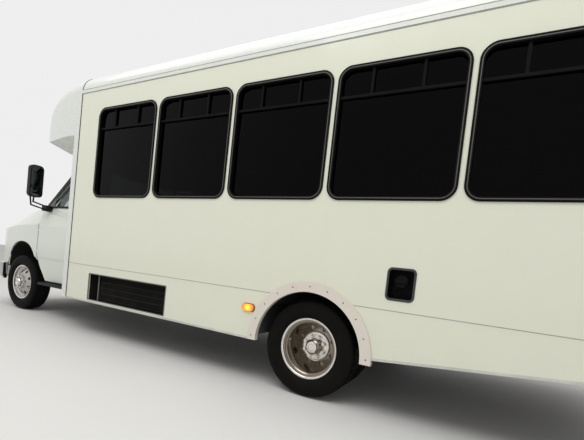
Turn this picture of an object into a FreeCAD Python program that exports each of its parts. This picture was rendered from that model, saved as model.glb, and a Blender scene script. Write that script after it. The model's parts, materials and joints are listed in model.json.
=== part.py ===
import FreeCAD, Part
import math
import os

import Sketcher
from FreeCAD import Placement, Rotation, Vector

# Shuttle minibus on a cutaway van chassis, in millimetres.
# X runs forward, Y to the driver's side (left) and Z up, with the ground at Z = 0.
# Every sub-part is drawn from the rear axle (X = 0) and is then placed so that
# the middle of the bus, bumper to bumper, stands on the origin.

doc = FreeCAD.newDocument("Minibus")
sheet = doc.addObject("Spreadsheet::Sheet", "Sizes")

# alias, value, what it is
driving_sizes = [
    ("wheel_base", 4470, "front axle to rear axle"),
    ("front_overhang", 830, "front axle to front bumper face"),
    ("rear_overhang", 2330, "rear axle to rear bumper face"),
    ("body_width", 2438, "outside of the side walls"),
    ("roof_height", 2865, "ground to the crown of the roof"),
    ("roof_edge_height", 2840, "ground to the roof where its corner arc ends"),
    ("gutter_height", 2608, "ground to the foot of the roof moulding"),
    ("roof_corner", 190, "radius of the roof corner"),
    ("wall", 40, "body wall thickness"),
    ("panel", 20, "skirt panel thickness"),
    ("skirt_top", 750, "ground to the seam under the side wall"),
    ("skirt_bottom", 360, "ground to the foot of the skirt"),
    ("skirt_rise", 200, "rise of the skirt foot at the tail"),
    ("floor_underside", 800, "ground to the underside of the floor"),
    ("floor_thick", 50, "floor sandwich"),
    ("cab_length", 1460, "front axle to the seam behind the front cap"),
    ("cap_strip", 90, "full width strip of the front cap"),
    ("rear_cap_depth", 130, "rear cap, seam to rear face"),
    ("rear_bumper_depth", 110, "rear bumper in front of its face"),
    ("seam_gap", 0.5, "shut line between body panels"),
    ("window_start", 336, "front cap seam to the first window"),
    ("window_pitch", 904, "window to window"),
    ("window_length", 871, "outside of a window frame"),
    ("window_sill", 1475, "ground to the foot of the window frames"),
    ("window_head", 2415, "ground to the head of the window frames"),
    ("window_corner", 100, "outer corner radius of a window frame"),
    ("frame_width", 28, "visible face of a window frame"),
    ("frame_proud", 8, "window frame proud of the wall"),
    ("glass", 6, "glass thickness"),
    ("tyre_radius", 368, "loaded tyre radius"),
    ("tyre_width", 223, "tyre section width"),
    ("bead_radius", 203, "rim seat radius"),
    ("rim_lip", 228, "radius of the bright rim edge"),
    ("rim_width", 172, "outside of the rim flanges"),
    ("front_track", 1763, "front wheel to front wheel"),
    ("rear_track", 1869, "middle of the twin wheels, side to side"),
    ("twin_spacing", 259, "twin wheel to twin wheel"),
    ("kingpin_track", 1600, "kingpin to kingpin"),
    ("arch_radius", 430, "rear wheel arch opening"),
    ("flare_width", 78, "face width of the arch flare"),
    ("rail_outside", 868, "outside of the frame rails"),
    ("rail_width", 64, "frame rail flange"),
    ("rail_foot", 520, "ground to the foot of the frame rails"),
    ("rail_depth", 180, "frame rail height"),
    ("cab_half_width", 1003, "cab centre line to its widest crease"),
    ("cab_skin", 26, "cab outer skin with its frame"),
    ("door_front", 372, "front axle back to the cab door's front edge"),
    ("door_sill", 446, "ground to the foot of the cab door"),
    ("belt_height", 1385, "ground to the cab window sill"),
    ("cab_roof", 2000, "ground to the top of the cab door"),
    ("cab_floor", 724, "ground to the cab floor"),
    ("vent_front", 385, "front cap seam to the condenser opening"),
    ("vent_length", 1159, "length of the condenser opening"),
    ("vent_foot", 386, "ground to the foot of the condenser opening"),
    ("vent_head", 668, "ground to the head of the condenser opening"),
    ("filler_front", 550, "rear axle back to the fuel filler recess"),
    ("filler_back", 730, "rear axle back to the recess's far edge"),
    ("filler_foot", 823, "ground to the foot of the filler recess"),
    ("filler_head", 1034, "ground to the head of the filler recess"),
    ("filler_corner", 30, "corner radius of the filler recess"),
    ("entry_front", 130, "front cap seam to the entry door opening"),
    ("entry_length", 900, "entry door opening"),
    ("entry_foot", 390, "ground to the foot of the entry door"),
    ("entry_head", 2370, "ground to the head of the entry door"),
    ("leaf_thick", 36, "entry leaf thickness"),
    ("rear_door_width", 900, "rear emergency door opening"),
    ("rear_door_head", 2420, "ground to the head of the rear door"),
    ("door_gap", 6, "running gap round a door"),
    ("fit_gap", 0.3, "seat gap between fitted pieces"),
]


def fill_sheet():
    for row, (alias, number, note) in enumerate(driving_sizes, start=1):
        sheet.set("A%d" % row, alias)
        sheet.set("B%d" % row, str(number))
        sheet.set("C%d" % row, note)
        sheet.setAlias("B%d" % row, alias)
    doc.recompute()


fill_sheet()

# Places worked out from the driving sizes
shift = "(Sizes.rear_overhang - Sizes.front_overhang - Sizes.wheel_base) / 2"
seam = "(Sizes.wheel_base - Sizes.cab_length)"
rear_seam = "(Sizes.rear_bumper_depth + Sizes.rear_cap_depth - Sizes.rear_overhang)"
rear_face = "(Sizes.rear_bumper_depth - Sizes.rear_overhang)"
half_width = "(Sizes.body_width / 2)"
floor_top = "(Sizes.floor_underside + Sizes.floor_thick)"
rail_top = "(Sizes.rail_foot + Sizes.rail_depth)"


def value(expression):
    """Number that a sheet expression stands for."""
    if isinstance(expression, (int, float)):
        return float(expression)
    return float(sheet.evalExpression(expression))


def text(expression):
    return expression if isinstance(expression, str) else repr(float(expression))


class Numbers:
    """The driving sizes as plain attributes, for shapes made by code."""

    def __init__(self):
        for alias, _, _ in driving_sizes:
            setattr(self, alias, float(sheet.get(alias)))


size = Numbers()
x_seam = value(seam)
x_rear_seam = value(rear_seam)
x_rear_face = value(rear_face)
x_front_axle = size.wheel_base
y_side = size.body_width / 2
z_floor = value(floor_top)
z_rail_top = value(rail_top)


# Helpers that place and name what they make

kept = []


def placed(shape, label):
    """A sub-part whose shape is made by code from the sheet's sizes."""
    thing = doc.addObject("Part::Feature", label)
    thing.Shape = shape
    thing.Label = label
    thing.setExpression("Placement.Base.x", shift)
    kept.append(thing)
    return thing


def box(x_low, x_high, y_low, y_high, z_low, z_high):
    return Part.makeBox(x_high - x_low, y_high - y_low, z_high - z_low, Vector(x_low, y_low, z_low))


def rod(radius, start, end):
    """Round bar between two points."""
    start, end = Vector(*start), Vector(*end)
    return Part.makeCylinder(radius, (end - start).Length, start, end - start)


def fuse(shapes):
    first, rest = shapes[0], shapes[1:]
    return first.fuse(rest).removeSplitter() if rest else first


def mirrored(shape):
    return shape.mirror(Vector(0, 0, 0), Vector(0, 1, 0))


def both_sides(shape):
    return Part.makeCompound([shape, mirrored(shape)])


def rounded_face(u_low, u_high, v_low, v_high, radius, plane, offset):
    """Rectangle with round corners in a plane, as a face."""
    def at(u, v):
        return {"XZ": Vector(u, offset, v), "XY": Vector(u, v, offset), "YZ": Vector(offset, u, v)}[plane]

    k = radius * (1 - math.sqrt(0.5))
    corners = [
        ((u_low + radius, v_low), (u_high - radius, v_low), (u_high - k, v_low + k)),
        ((u_high, v_low + radius), (u_high, v_high - radius), (u_high - k, v_high - k)),
        ((u_high - radius, v_high), (u_low + radius, v_high), (u_low + k, v_high - k)),
        ((u_low, v_high - radius), (u_low, v_low + radius), (u_low + k, v_low + k)),
    ]
    edges = []
    for index, (start, end, mid) in enumerate(corners):
        after = corners[(index + 1) % 4][0]
        edges.append(Part.LineSegment(at(*start), at(*end)).toShape())
        edges.append(Part.Arc(at(*end), at(*mid), at(*after)).toShape())
    return Part.Face(Part.Wire(edges))


def polygon(points, plane, offset):
    def at(u, v):
        return {"XZ": Vector(u, offset, v), "XY": Vector(u, v, offset), "YZ": Vector(offset, u, v)}[plane]
    corners = [at(u, v) for u, v in points]
    return Part.Face(Part.makePolygon(corners + corners[:1]))


def prism(face, plane, depth):
    """Extrude a face along its plane's normal, in the axis' positive direction."""
    direction = {"XZ": Vector(0, depth, 0), "XY": Vector(0, 0, depth), "YZ": Vector(depth, 0, 0)}[plane]
    return face.extrude(direction)


# Sketches whose lines are bound to the sheet

def bind(sketch, kind, geometry, point, expression):
    number = sketch.addConstraint(Sketcher.Constraint(kind, -1, 1, geometry, point, value(expression)))
    sketch.setExpression("Constraints[%d]" % number, text(expression))


def draw_polygon(sketch, points):
    """Closed outline whose every corner is bound to two expressions."""
    corners = [Vector(value(u), value(v), 0) for u, v in points]
    first = sketch.GeometryCount
    count = len(corners)
    for index in range(count):
        sketch.addGeometry(Part.LineSegment(corners[index], corners[(index + 1) % count]), False)
    for index in range(count):
        sketch.addConstraint(Sketcher.Constraint(
            "Coincident", first + index, 2, first + (index + 1) % count, 1))
    for index, (u, v) in enumerate(points):
        bind(sketch, "DistanceX", first + index, 1, u)
        bind(sketch, "DistanceY", first + index, 1, v)


def draw_rounded(sketch, left, right, low, high, radius):
    """Upright rectangle with round corners, each side and the radius bound."""
    u0, u1, v0, v1, r = (value(e) for e in (left, right, low, high, radius))
    first = sketch.GeometryCount
    sides = [((u0 + r, v0), (u1 - r, v0)), ((u1, v0 + r), (u1, v1 - r)),
             ((u1 - r, v1), (u0 + r, v1)), ((u0, v1 - r), (u0, v0 + r))]
    centres = [(u1 - r, v0 + r), (u1 - r, v1 - r), (u0 + r, v1 - r), (u0 + r, v0 + r)]
    for start, end in sides:
        sketch.addGeometry(Part.LineSegment(Vector(*start, 0), Vector(*end, 0)), False)
    for index, (u, v) in enumerate(centres):
        circle = Part.Circle(Vector(u, v, 0), Vector(0, 0, 1), r)
        start = (index - 1) * math.pi / 2
        sketch.addGeometry(Part.ArcOfCircle(circle, start, start + math.pi / 2), False)
    for index in range(4):
        arc = first + 4 + index
        sketch.addConstraint(Sketcher.Constraint("Tangent", first + index, 2, arc, 1))
        sketch.addConstraint(Sketcher.Constraint("Tangent", arc, 2, first + (index + 1) % 4, 1))
        sketch.addConstraint(Sketcher.Constraint(
            "Horizontal" if index % 2 == 0 else "Vertical", first + index))
        number = sketch.addConstraint(Sketcher.Constraint("Radius", arc, r))
        sketch.setExpression("Constraints[%d]" % number, text(radius))
    bind(sketch, "DistanceY", first, 1, low)
    bind(sketch, "DistanceX", first + 1, 1, right)
    bind(sketch, "DistanceY", first + 2, 1, high)
    bind(sketch, "DistanceX", first + 3, 1, left)


def new_sketch(body, plane):
    sketch = body.newObject("Sketcher::SketchObject", body.Name + "_sketch")
    origin_plane = [f for f in body.Origin.OriginFeatures if f.Role == plane + "_Plane"][0]
    sketch.AttachmentSupport = (origin_plane, [""])
    sketch.MapMode = "FlatFace"
    return sketch


def padded_body(label, plane, draw, depth, across="0"):
    """Body made by one pad. It starts at 'across' on the plane's own axis."""
    body = doc.addObject("PartDesign::Body", label)
    sketch = new_sketch(body, plane)
    draw(sketch)
    pad = body.newObject("PartDesign::Pad", label + "_pad")
    pad.Profile = sketch
    pad.setExpression("Length", text(depth))
    body.Label = label
    body.setExpression("Placement.Base.x", shift if plane != "YZ" else "%s + %s" % (shift, across))
    if plane == "XZ":
        body.setExpression("Placement.Base.y", text(across))
    if plane == "XY":
        body.setExpression("Placement.Base.z", text(across))
    kept.append(body)
    return body


def pocket(body, plane, draw, depth):
    """Cut through a body both ways from the sketch."""
    sketch = new_sketch(body, plane)
    draw(sketch)
    cut = body.newObject("PartDesign::Pocket", body.Name + "_pocket")
    cut.Profile = sketch
    cut.Midplane = True
    cut.setExpression("Length", text(depth))
    return cut


# Side walls, with their window openings

def window_span(index):
    front = "(%s - Sizes.window_start - %d * Sizes.window_pitch)" % (seam, index)
    return "(%s - Sizes.window_length)" % front, front


def draw_arch(sketch):
    circle = Part.Circle(Vector(0, size.tyre_radius, 0), Vector(0, 0, 1), size.arch_radius)
    number = sketch.addGeometry(circle, False)
    sketch.addConstraint(Sketcher.Constraint("PointOnObject", number, 3, -2))
    bind(sketch, "DistanceY", number, 3, "Sizes.tyre_radius")
    radius = sketch.addConstraint(Sketcher.Constraint("Radius", number, size.arch_radius))
    sketch.setExpression("Constraints[%d]" % radius, "Sizes.arch_radius")


left_windows = range(0, 5)
right_windows = range(1, 5)
wall_front = "(%s - Sizes.seam_gap)" % seam
wall_back = "(%s + Sizes.seam_gap)" % rear_seam
entry_fore = "(%s - Sizes.entry_front)" % seam
entry_aft = "(%s - Sizes.entry_length)" % entry_fore


def draw_windows(sketch, indexes, inset):
    for index in indexes:
        back, front = window_span(index)
        draw_rounded(sketch, "%s + %s" % (back, inset), "%s - %s" % (front, inset),
                     "Sizes.window_sill + %s" % inset, "Sizes.window_head - %s" % inset,
                     "Sizes.window_corner - %s" % inset)


filler_span = ("-Sizes.filler_back", "-Sizes.filler_front", "Sizes.filler_foot", "Sizes.filler_head")


def side_wall_left():
    def draw(sketch):
        draw_polygon(sketch, [(wall_back, "Sizes.skirt_top"), (wall_front, "Sizes.skirt_top"),
                              (wall_front, "Sizes.gutter_height"), (wall_back, "Sizes.gutter_height")])
        draw_windows(sketch, left_windows, "Sizes.frame_width / 2")
        draw_rounded(sketch, *filler_span, "Sizes.filler_corner")
    body = padded_body("side_wall_left", "XZ", draw, "Sizes.wall", half_width)
    pocket(body, "XZ", draw_arch, "4 * Sizes.wall")


def side_wall_right():
    def draw(sketch):
        foot = "Sizes.skirt_top"
        draw_polygon(sketch, [(wall_back, foot), (entry_aft, foot),
                              (entry_aft, "Sizes.entry_head"), (entry_fore, "Sizes.entry_head"),
                              (entry_fore, foot), (wall_front, foot),
                              (wall_front, "Sizes.gutter_height"), (wall_back, "Sizes.gutter_height")])
        draw_windows(sketch, right_windows, "Sizes.frame_width / 2")
    body = padded_body("side_wall_right", "XZ", draw, "Sizes.wall", "Sizes.wall - %s" % half_width)
    pocket(body, "XZ", draw_arch, "4 * Sizes.wall")


# Skirts, arch flares and the condenser opening

def skirt_outline(front):
    """Foot of the skirt: level ahead of the wheels, then rising to the tail."""
    tail = "(Sizes.skirt_bottom + Sizes.skirt_rise)"
    behind = "(-Sizes.arch_radius - Sizes.flare_width)"
    return [(wall_back, tail), (behind, "Sizes.skirt_bottom + Sizes.skirt_rise / 5"),
            (behind, "Sizes.skirt_bottom"), (front, "Sizes.skirt_bottom"),
            (front, "Sizes.skirt_top - Sizes.seam_gap"), (wall_back, "Sizes.skirt_top - Sizes.seam_gap")]


vent_fore = "(%s - Sizes.vent_front)" % seam
vent_aft = "(%s - Sizes.vent_length)" % vent_fore


def skirts():
    def draw_left(sketch):
        draw_polygon(sketch, skirt_outline(wall_front))
        draw_rounded(sketch, vent_aft, vent_fore, "Sizes.vent_foot", "Sizes.vent_head", "8")

    def draw_right(sketch):
        outline = skirt_outline(wall_front)
        draw_polygon(sketch, outline[:3] + [
            (entry_aft, "Sizes.skirt_bottom"), (entry_aft, "Sizes.skirt_top - Sizes.seam_gap"),
        ] + outline[5:])
        draw_polygon(sketch, [
            (entry_fore, "Sizes.skirt_bottom"), (wall_front, "Sizes.skirt_bottom"),
            (wall_front, "Sizes.skirt_top - Sizes.seam_gap"),
            (entry_fore, "Sizes.skirt_top - Sizes.seam_gap")])

    for label, draw, across in (("skirt_left", draw_left, half_width),
                                ("skirt_right", draw_right, "Sizes.panel - %s" % half_width)):
        body = padded_body(label, "XZ", draw, "Sizes.panel", across)
        pocket(body, "XZ", draw_arch, "4 * Sizes.panel")


def wheel_flares():
    """Raised half ring bolted round each rear arch, down to the skirt's foot."""
    outer = size.arch_radius + size.flare_width
    proud = size.frame_proud * 2
    ring = Part.makeCylinder(outer, proud, Vector(0, y_side + size.fit_gap, size.tyre_radius), Vector(0, 1, 0))
    hole = Part.makeCylinder(size.arch_radius, proud * 3, Vector(0, y_side - proud, size.tyre_radius),
                             Vector(0, 1, 0))
    below = box(-outer, outer, y_side - proud, y_side + 3 * proud, -outer, size.skirt_bottom)
    placed(both_sides(ring.cut([hole, below])), "wheel_flares")


def condenser():
    """Open-fronted case behind the skirt, with a finned coil across its back."""
    x_fore, x_aft = value(vent_fore), value(vent_aft)
    face = y_side - size.panel - size.fit_gap
    depth = 260
    sheet_metal = 4
    case = box(x_aft - 20, x_fore + 20, face - depth, face, size.vent_foot - 20, size.vent_head + 20)
    inside = box(x_aft - 20 + sheet_metal, x_fore + 20 - sheet_metal, face - depth + sheet_metal, face + 1,
                 size.vent_foot - 20 + sheet_metal, size.vent_head + 20 - sheet_metal)
    coil = box(x_aft + 10, x_fore - 150, face - 60, face - 30, size.vent_foot - 16, size.vent_head + 16)
    post = box(x_fore - 146, x_fore - 120, face - 60, face - 10, size.vent_foot - 16, size.vent_head + 16)
    hangers = [box(x - 20, x + 20, face - depth + 10, face - depth + 50, size.vent_head + 20,
                   size.floor_underside) for x in (x_aft + 80, x_fore - 80)]
    placed(fuse([case.cut(inside), coil, post] + hangers), "condenser")


def fuel_filler():
    """Recessed cup in the left wall with the filler neck and cap."""
    back, front, low, high = (value(e) for e in filler_span)
    lip = 12
    depth = 70
    r = size.filler_corner
    proud = y_side + 3
    inner = rounded_face(back + lip, front - lip, low + lip, high - lip, r - lip / 2, "XZ", y_side - depth)
    outer = rounded_face(back + 0.3, front - 0.3, low + 0.3, high - 0.3, r, "XZ", y_side - depth - 4)
    cup = prism(outer, "XZ", depth + 4 + proud - y_side).cut(prism(inner, "XZ", depth + 20))
    middle = ((back + front) / 2, (low + high) / 2 + 20)
    neck = rod(32, (middle[0], y_side - depth - 1, middle[1]), (middle[0], y_side - 30, middle[1]))
    placed(fuse([cup, neck]), "fuel_filler")


# Window frames and panes

def window_set(indexes, side, frames, panes):
    for index in indexes:
        back, front = (value(e) for e in window_span(index))
        face, inner_face = y_side + size.frame_proud, y_side - size.wall
        w = size.frame_width
        outside = rounded_face(back, front, size.window_sill, size.window_head, size.window_corner,
                               "XZ", y_side + size.fit_gap)
        sleeve = rounded_face(back + w / 2 + 0.3, front - w / 2 - 0.3, size.window_sill + w / 2 + 0.3,
                              size.window_head - w / 2 - 0.3, size.window_corner - w / 2, "XZ", inner_face)
        opening = rounded_face(back + w, front - w, size.window_sill + w, size.window_head - w,
                               size.window_corner - w, "XZ", inner_face - 10)
        frame = prism(outside, "XZ", size.frame_proud).fuse(
            prism(sleeve, "XZ", face - inner_face - 1)).cut(prism(opening, "XZ", 3 * size.wall))
        # The upper fifth slides: a transom and two slider posts
        bar = size.frame_width * 0.7
        z_transom = size.window_head - 0.24 * (size.window_head - size.window_sill)
        depth = (y_side - 22, y_side - 4)
        transom = box(back + w - 2, front - w + 2, *depth, z_transom, z_transom + bar)
        posts = [box(back + share * size.window_length, back + share * size.window_length + bar, *depth,
                     z_transom, size.window_head - w + 2) for share in (0.31, 0.70)]
        frame = fuse([frame, transom] + posts)
        glass_face = rounded_face(back + w + 0.3, front - w - 0.3, size.window_sill + w + 0.3,
                                  size.window_head - w - 0.3, size.window_corner - w, "XZ", depth[0] - 0.3 - size.glass)
        pane = prism(glass_face, "XZ", size.glass)
        if side < 0:
            frame, pane = mirrored(frame), mirrored(pane)
        frames.append(frame)
        panes.append(pane)


def windows():
    frames, panes = [], []
    window_set(left_windows, 1, frames, panes)
    window_set(right_windows, -1, frames, panes)
    placed(Part.makeCompound(frames), "window_frames")
    placed(Part.makeCompound(panes), "window_glass")


# Roof and the body's cross-section

def body_arch(inset, z_low, x):
    """Upper half of the body's section at x: straight sides, corner arcs, crowned roof."""
    side = y_side - inset
    corner = size.roof_corner - inset
    z_spring = size.roof_edge_height - inset - corner
    edge = side - corner
    k = corner * math.sqrt(0.5)
    top, crown = size.roof_edge_height - inset, size.roof_height - inset

    def at(y, z):
        return Vector(x, y, z)
    edges = [
        Part.LineSegment(at(side, z_low), at(side, z_spring)).toShape(),
        Part.Arc(at(side, z_spring), at(edge + k, z_spring + k), at(edge, top)).toShape(),
        Part.Arc(at(edge, top), at(0, crown), at(-edge, top)).toShape(),
        Part.Arc(at(-edge, top), at(-edge - k, z_spring + k), at(-side, z_spring)).toShape(),
        Part.LineSegment(at(-side, z_spring), at(-side, z_low)).toShape(),
        Part.LineSegment(at(-side, z_low), at(side, z_low)).toShape(),
    ]
    return Part.Face(Part.Wire(edges))


def roof():
    x_low, x_high = value(wall_back), value(wall_front)
    z_low = size.gutter_height + size.fit_gap
    outer = body_arch(0, z_low, x_low).extrude(Vector(x_high - x_low, 0, 0))
    inner = body_arch(size.wall, z_low - 10, x_low - 1).extrude(Vector(x_high - x_low + 2, 0, 0))
    moulding = box(x_low, x_high, y_side - 1, y_side + 6, size.gutter_height + 5, size.gutter_height + 40)
    placed(fuse([outer.cut(inner), moulding, mirrored(moulding)]), "roof")


rear_pin = (x_rear_face - 12, -size.rear_door_width / 2 - size.door_gap)
rear_hinge_heights = (1000, 1500, 2350)


def rear_wall():
    """Moulded rear cap, hollow inside, with the emergency door's opening."""
    x_low, x_high = x_rear_face, x_rear_seam
    foot = size.skirt_bottom + size.skirt_rise
    full = body_arch(0, foot, x_low).extrude(Vector(x_high - x_low, 0, 0))
    rear_edges = [e for e in full.Edges if all(abs(v.X - x_low) < 1 for v in e.Vertexes)
                  and max(v.Z for v in e.Vertexes) > foot + 1]
    outer = full.makeFillet(size.rear_cap_depth * 0.6, rear_edges)
    inner = body_arch(size.wall, foot - 10, x_low + size.wall).extrude(Vector(x_high - x_low, 0, 0))
    half = size.rear_door_width / 2 + size.door_gap
    doorway = box(x_low - 50, x_high + 50, -half, half, z_floor, size.rear_door_head + size.door_gap)
    hinges = []
    for z in rear_hinge_heights:
        hinges.append(rod(4, (rear_pin[0], rear_pin[1], z - 52), (rear_pin[0], rear_pin[1], z + 52)))
        for z_low in (z - 56, z + 34):
            hinges.append(box(rear_pin[0] - 5, x_low + 1, rear_pin[1] - 50, rear_pin[1] + 4, z_low, z_low + 22))
            hinges.append(box(rear_pin[0] - 5, rear_pin[0] + 5, rear_pin[1] - 5, rear_pin[1] + 5, z_low, z_low + 22))
    placed(fuse([outer.cut([inner, doorway])] + hinges), "rear_wall")


def rear_door():
    half = size.rear_door_width / 2
    low, high = z_floor + size.door_gap, size.rear_door_head
    x_low = x_rear_face - 4
    thick = size.wall - 2
    leaf = box(x_low, x_low + thick, -half, half, low, high)
    openings = [(1560, 2300), (1040, 1440)]
    glass = []
    for z_low, z_high in openings:
        hole = rounded_face(-half + 110, half - 110, z_low, z_high, 60, "YZ", x_low - 1)
        leaf = leaf.cut(prism(hole, "YZ", thick + 2))
        pane = rounded_face(-half + 110.3, half - 110.3, z_low + 0.3, z_high - 0.3, 60, "YZ", x_low + 10)
        glass.append(prism(pane, "YZ", size.glass))
    handle = box(x_low - 30, x_low + 1, half - 80, half - 60, 1460, 1540)
    hinges, bores = [], []
    for z in rear_hinge_heights:
        hinges += [rod(8, (rear_pin[0], rear_pin[1], z - 30), (rear_pin[0], rear_pin[1], z + 30)),
                   box(rear_pin[0] - 4, x_low + 1, rear_pin[1], rear_pin[1] + 50, z - 30, z + 30)]
        bores.append(rod(4.3, (rear_pin[0], rear_pin[1], z - 40), (rear_pin[0], rear_pin[1], z + 40)))
    placed(fuse([leaf, handle] + hinges).cut(bores), "rear_door")
    placed(Part.makeCompound(glass), "rear_door_glass")


# Floor and frame

def floor():
    """Floor sandwich on cross joists that sit on the frame rails."""
    x_low, x_high = x_rear_face + size.wall + size.fit_gap, x_seam
    half = y_side - size.wall - size.fit_gap
    low = size.floor_underside
    plate = box(x_low, x_high - size.seam_gap, -half, half, low, z_floor)
    step_hole = box(value(entry_aft) - 1, value(entry_fore) + 1, -half - 1, -750 + size.fit_gap, low - 1, z_floor + 1)
    joists = []
    for x in (-2000, -1500, -1000, -560, 560, 1000, 1300):
        joists.append(box(x - 30, x + 30, -half, half, z_rail_top, low))
    for x in (1960, 2400, 2850):
        joists.append(box(x - 30, x + 30, -half + 440, half, z_rail_top, low))
    front_cut = box(0, x_seam, half - 320, half + 1, z_rail_top - 1, low)
    joists = [j.cut(front_cut) if j.BoundBox.XMin > 1200 else j for j in joists]
    brackets = []
    for x in (-2000, -1000, 1000, 2850):
        bracket = box(x - 30, x + 30, half - 60, y_side - size.panel - size.fit_gap, z_rail_top, size.skirt_top - 3)
        brackets.append(bracket)
        if x < value(entry_aft) - 30:
            brackets.append(mirrored(bracket))
    filler_room = box(-size.filler_back - 1, -size.filler_front + 1, y_side - 76, half + 1, size.filler_foot - 1,
                      z_floor + 1)
    housings = []
    for inset in (0, 4):
        bottom = 400 - inset  # the inner outline runs through, so the housing is open below
        outline = [(-446 + inset, bottom), (-446 + inset, 640), (-304, low + 2 - inset), (304, low + 2 - inset),
                   (446 - inset, 640), (446 - inset, bottom)]
        housings.append(prism(polygon(outline, "XZ", 640), "XZ", half - 640))
    housing = housings[0].cut(housings[1])
    placed(fuse([plate.cut([step_hole, filler_room]), housing, mirrored(housing)] + joists + brackets), "floor")


cross_members = (-2100, -640, 420, 1500, 2500, 3250)
rail_web = 8
hitch_bolts = (155, 255)  # forward of the rear face
hitch_hole = 7
x_gearbox = x_front_axle - 1050


def chassis_frame():
    """Ladder frame: two channel rails joined by cross members."""
    outer = size.rail_outside / 2
    web = rail_web
    x_low, x_high = x_rear_face + size.wall + size.fit_gap, x_front_axle + 560
    rail = box(x_low, x_high, outer - size.rail_width, outer, size.rail_foot, z_rail_top)
    hollow = box(x_low - 1, x_high + 1, outer - size.rail_width - 1, outer - web,
                 size.rail_foot + web, z_rail_top - web)
    rail = rail.cut(hollow)
    # Holes in the rails' lower flanges near the tail, where a tow hitch bolts on
    y_hitch = outer - size.rail_width / 2
    rail = rail.cut([rod(hitch_hole, (x_rear_face + x, y_hitch, size.rail_foot - 10),
                         (x_rear_face + x, y_hitch, size.rail_foot + rail_web + 10)) for x in hitch_bolts])
    shapes = [rail, mirrored(rail)]
    for x in cross_members:
        shapes.append(box(x - 35, x + 35, -outer + web, outer - web, z_rail_top - 120, z_rail_top - web))
    # Radiator support: bars that carry the fenders, with the radiator between them
    x_core = x_front_axle + 500
    inside = front_form(size.cab_skin + size.fit_gap)
    for z_low in (600, 1010):
        shapes.append(inside.common(box(x_core, x_core + 30, -1000, 1000, z_low, z_low + 34)))
    shapes.append(box(x_core, x_core + 56, -400, 400, 610, 1030))
    # Spring towers over the front axle and hangers for the rear springs
    tower = box(x_front_axle - 60, x_front_axle + 60, outer - 4, 640, size.rail_foot + 80, size.rail_foot + 100)
    hangers = [box(x - 25, x + 25, outer - 4, outer + 70, 468 + size.fit_gap, size.rail_foot + 60)
               for x in (-650, 650)]
    for piece in [tower] + hangers:
        shapes += [piece, mirrored(piece)]
    placed(fuse(shapes), "chassis_frame")


def front_axle():
    """Twin I-beams, one ahead of the other, each to its kingpin boss, with coil springs."""
    y_pin = size.kingpin_track / 2
    z = size.tyre_radius
    shapes = []
    for side, x in ((1, 45), (-1, -45)):
        x_beam = x_front_axle + x
        eye = Vector(x_front_axle, side * y_pin, z)
        boss = Part.makeCylinder(34, 90, eye - Vector(0, 0, 45)).cut(Part.makeCylinder(20.3, 100, eye - Vector(0, 0, 50)))
        y_pivot = -side * (size.rail_outside / 2 - size.rail_width / 2)
        beam_low = polygon([(x_beam - 22, y_pivot), (x_beam + 22, y_pivot), (x_beam + 22, side * 560),
                            (x_front_axle + 22, side * (y_pin - 20)), (x_front_axle - 22, side * (y_pin - 20)),
                            (x_beam - 22, side * 560)], "XY", z - 42)
        beam = prism(beam_low, "XY", 84).cut(Part.makeCylinder(33, 200, eye - Vector(0, 0, 100)))
        seat = Part.makeCylinder(58, 12, Vector(x_front_axle, side * 580, z + 42))
        seat_arm = box(x_front_axle - 60, x_front_axle + 60, *sorted((side * 540, side * 620)), z + 30, z + 44)
        pivot = box(x_beam - 22, x_beam + 22, y_pivot - 25, y_pivot + 25, z + 20, size.rail_foot - size.fit_gap)
        shapes.append(fuse([boss, beam, seat, seat_arm, pivot]))
        coil = Part.makeCylinder(50, size.rail_foot + 80 - z - 54 - 0.6, Vector(x_front_axle, side * 580, z + 54 + 0.3))
        shapes.append(coil.cut(Part.makeCylinder(36, 400, Vector(x_front_axle, side * 580, z))))
    placed(Part.makeCompound(shapes), "front_axle")


def rear_axle():
    """Banjo axle with its spindles, leaf springs and the propeller shaft."""
    z = size.tyre_radius
    y_twin_inner = size.rear_track / 2 - size.twin_spacing / 2 - size.tyre_width / 2
    tube = rod(55, (0, -y_twin_inner + 20, z), (0, y_twin_inner - 20, z))
    spindle = rod(40, (0, -1010, z), (0, 1010, z))
    banjo = Part.makeSphere(150, Vector(0, 0, z)).common(box(-200, 200, -120, 120, z - 200, z + 200))
    nose = rod(70, (120, 0, z + 5), (260, 0, z + 14))
    shaft = rod(45, (250, 0, z + 14), (x_gearbox + 10, 0, 500)).cut(
        box(x_gearbox - size.fit_gap, x_gearbox + 30, -60, 60, 400, 600))
    shapes = [tube, spindle, banjo, nose, shaft]
    for side in (1, -1):
        y = side * (size.rail_outside / 2 + 35)
        leaf_profile = polygon([(-650, 468), (-300, 432), (0, 418), (300, 432), (650, 468), (650, 456), (300, 414),
                                (140, 395), (-140, 395), (-300, 414), (-650, 456)], "XZ", y - 32)
        shapes.append(prism(leaf_profile, "XZ", 64))
    placed(fuse(shapes), "rear_axle")


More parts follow.
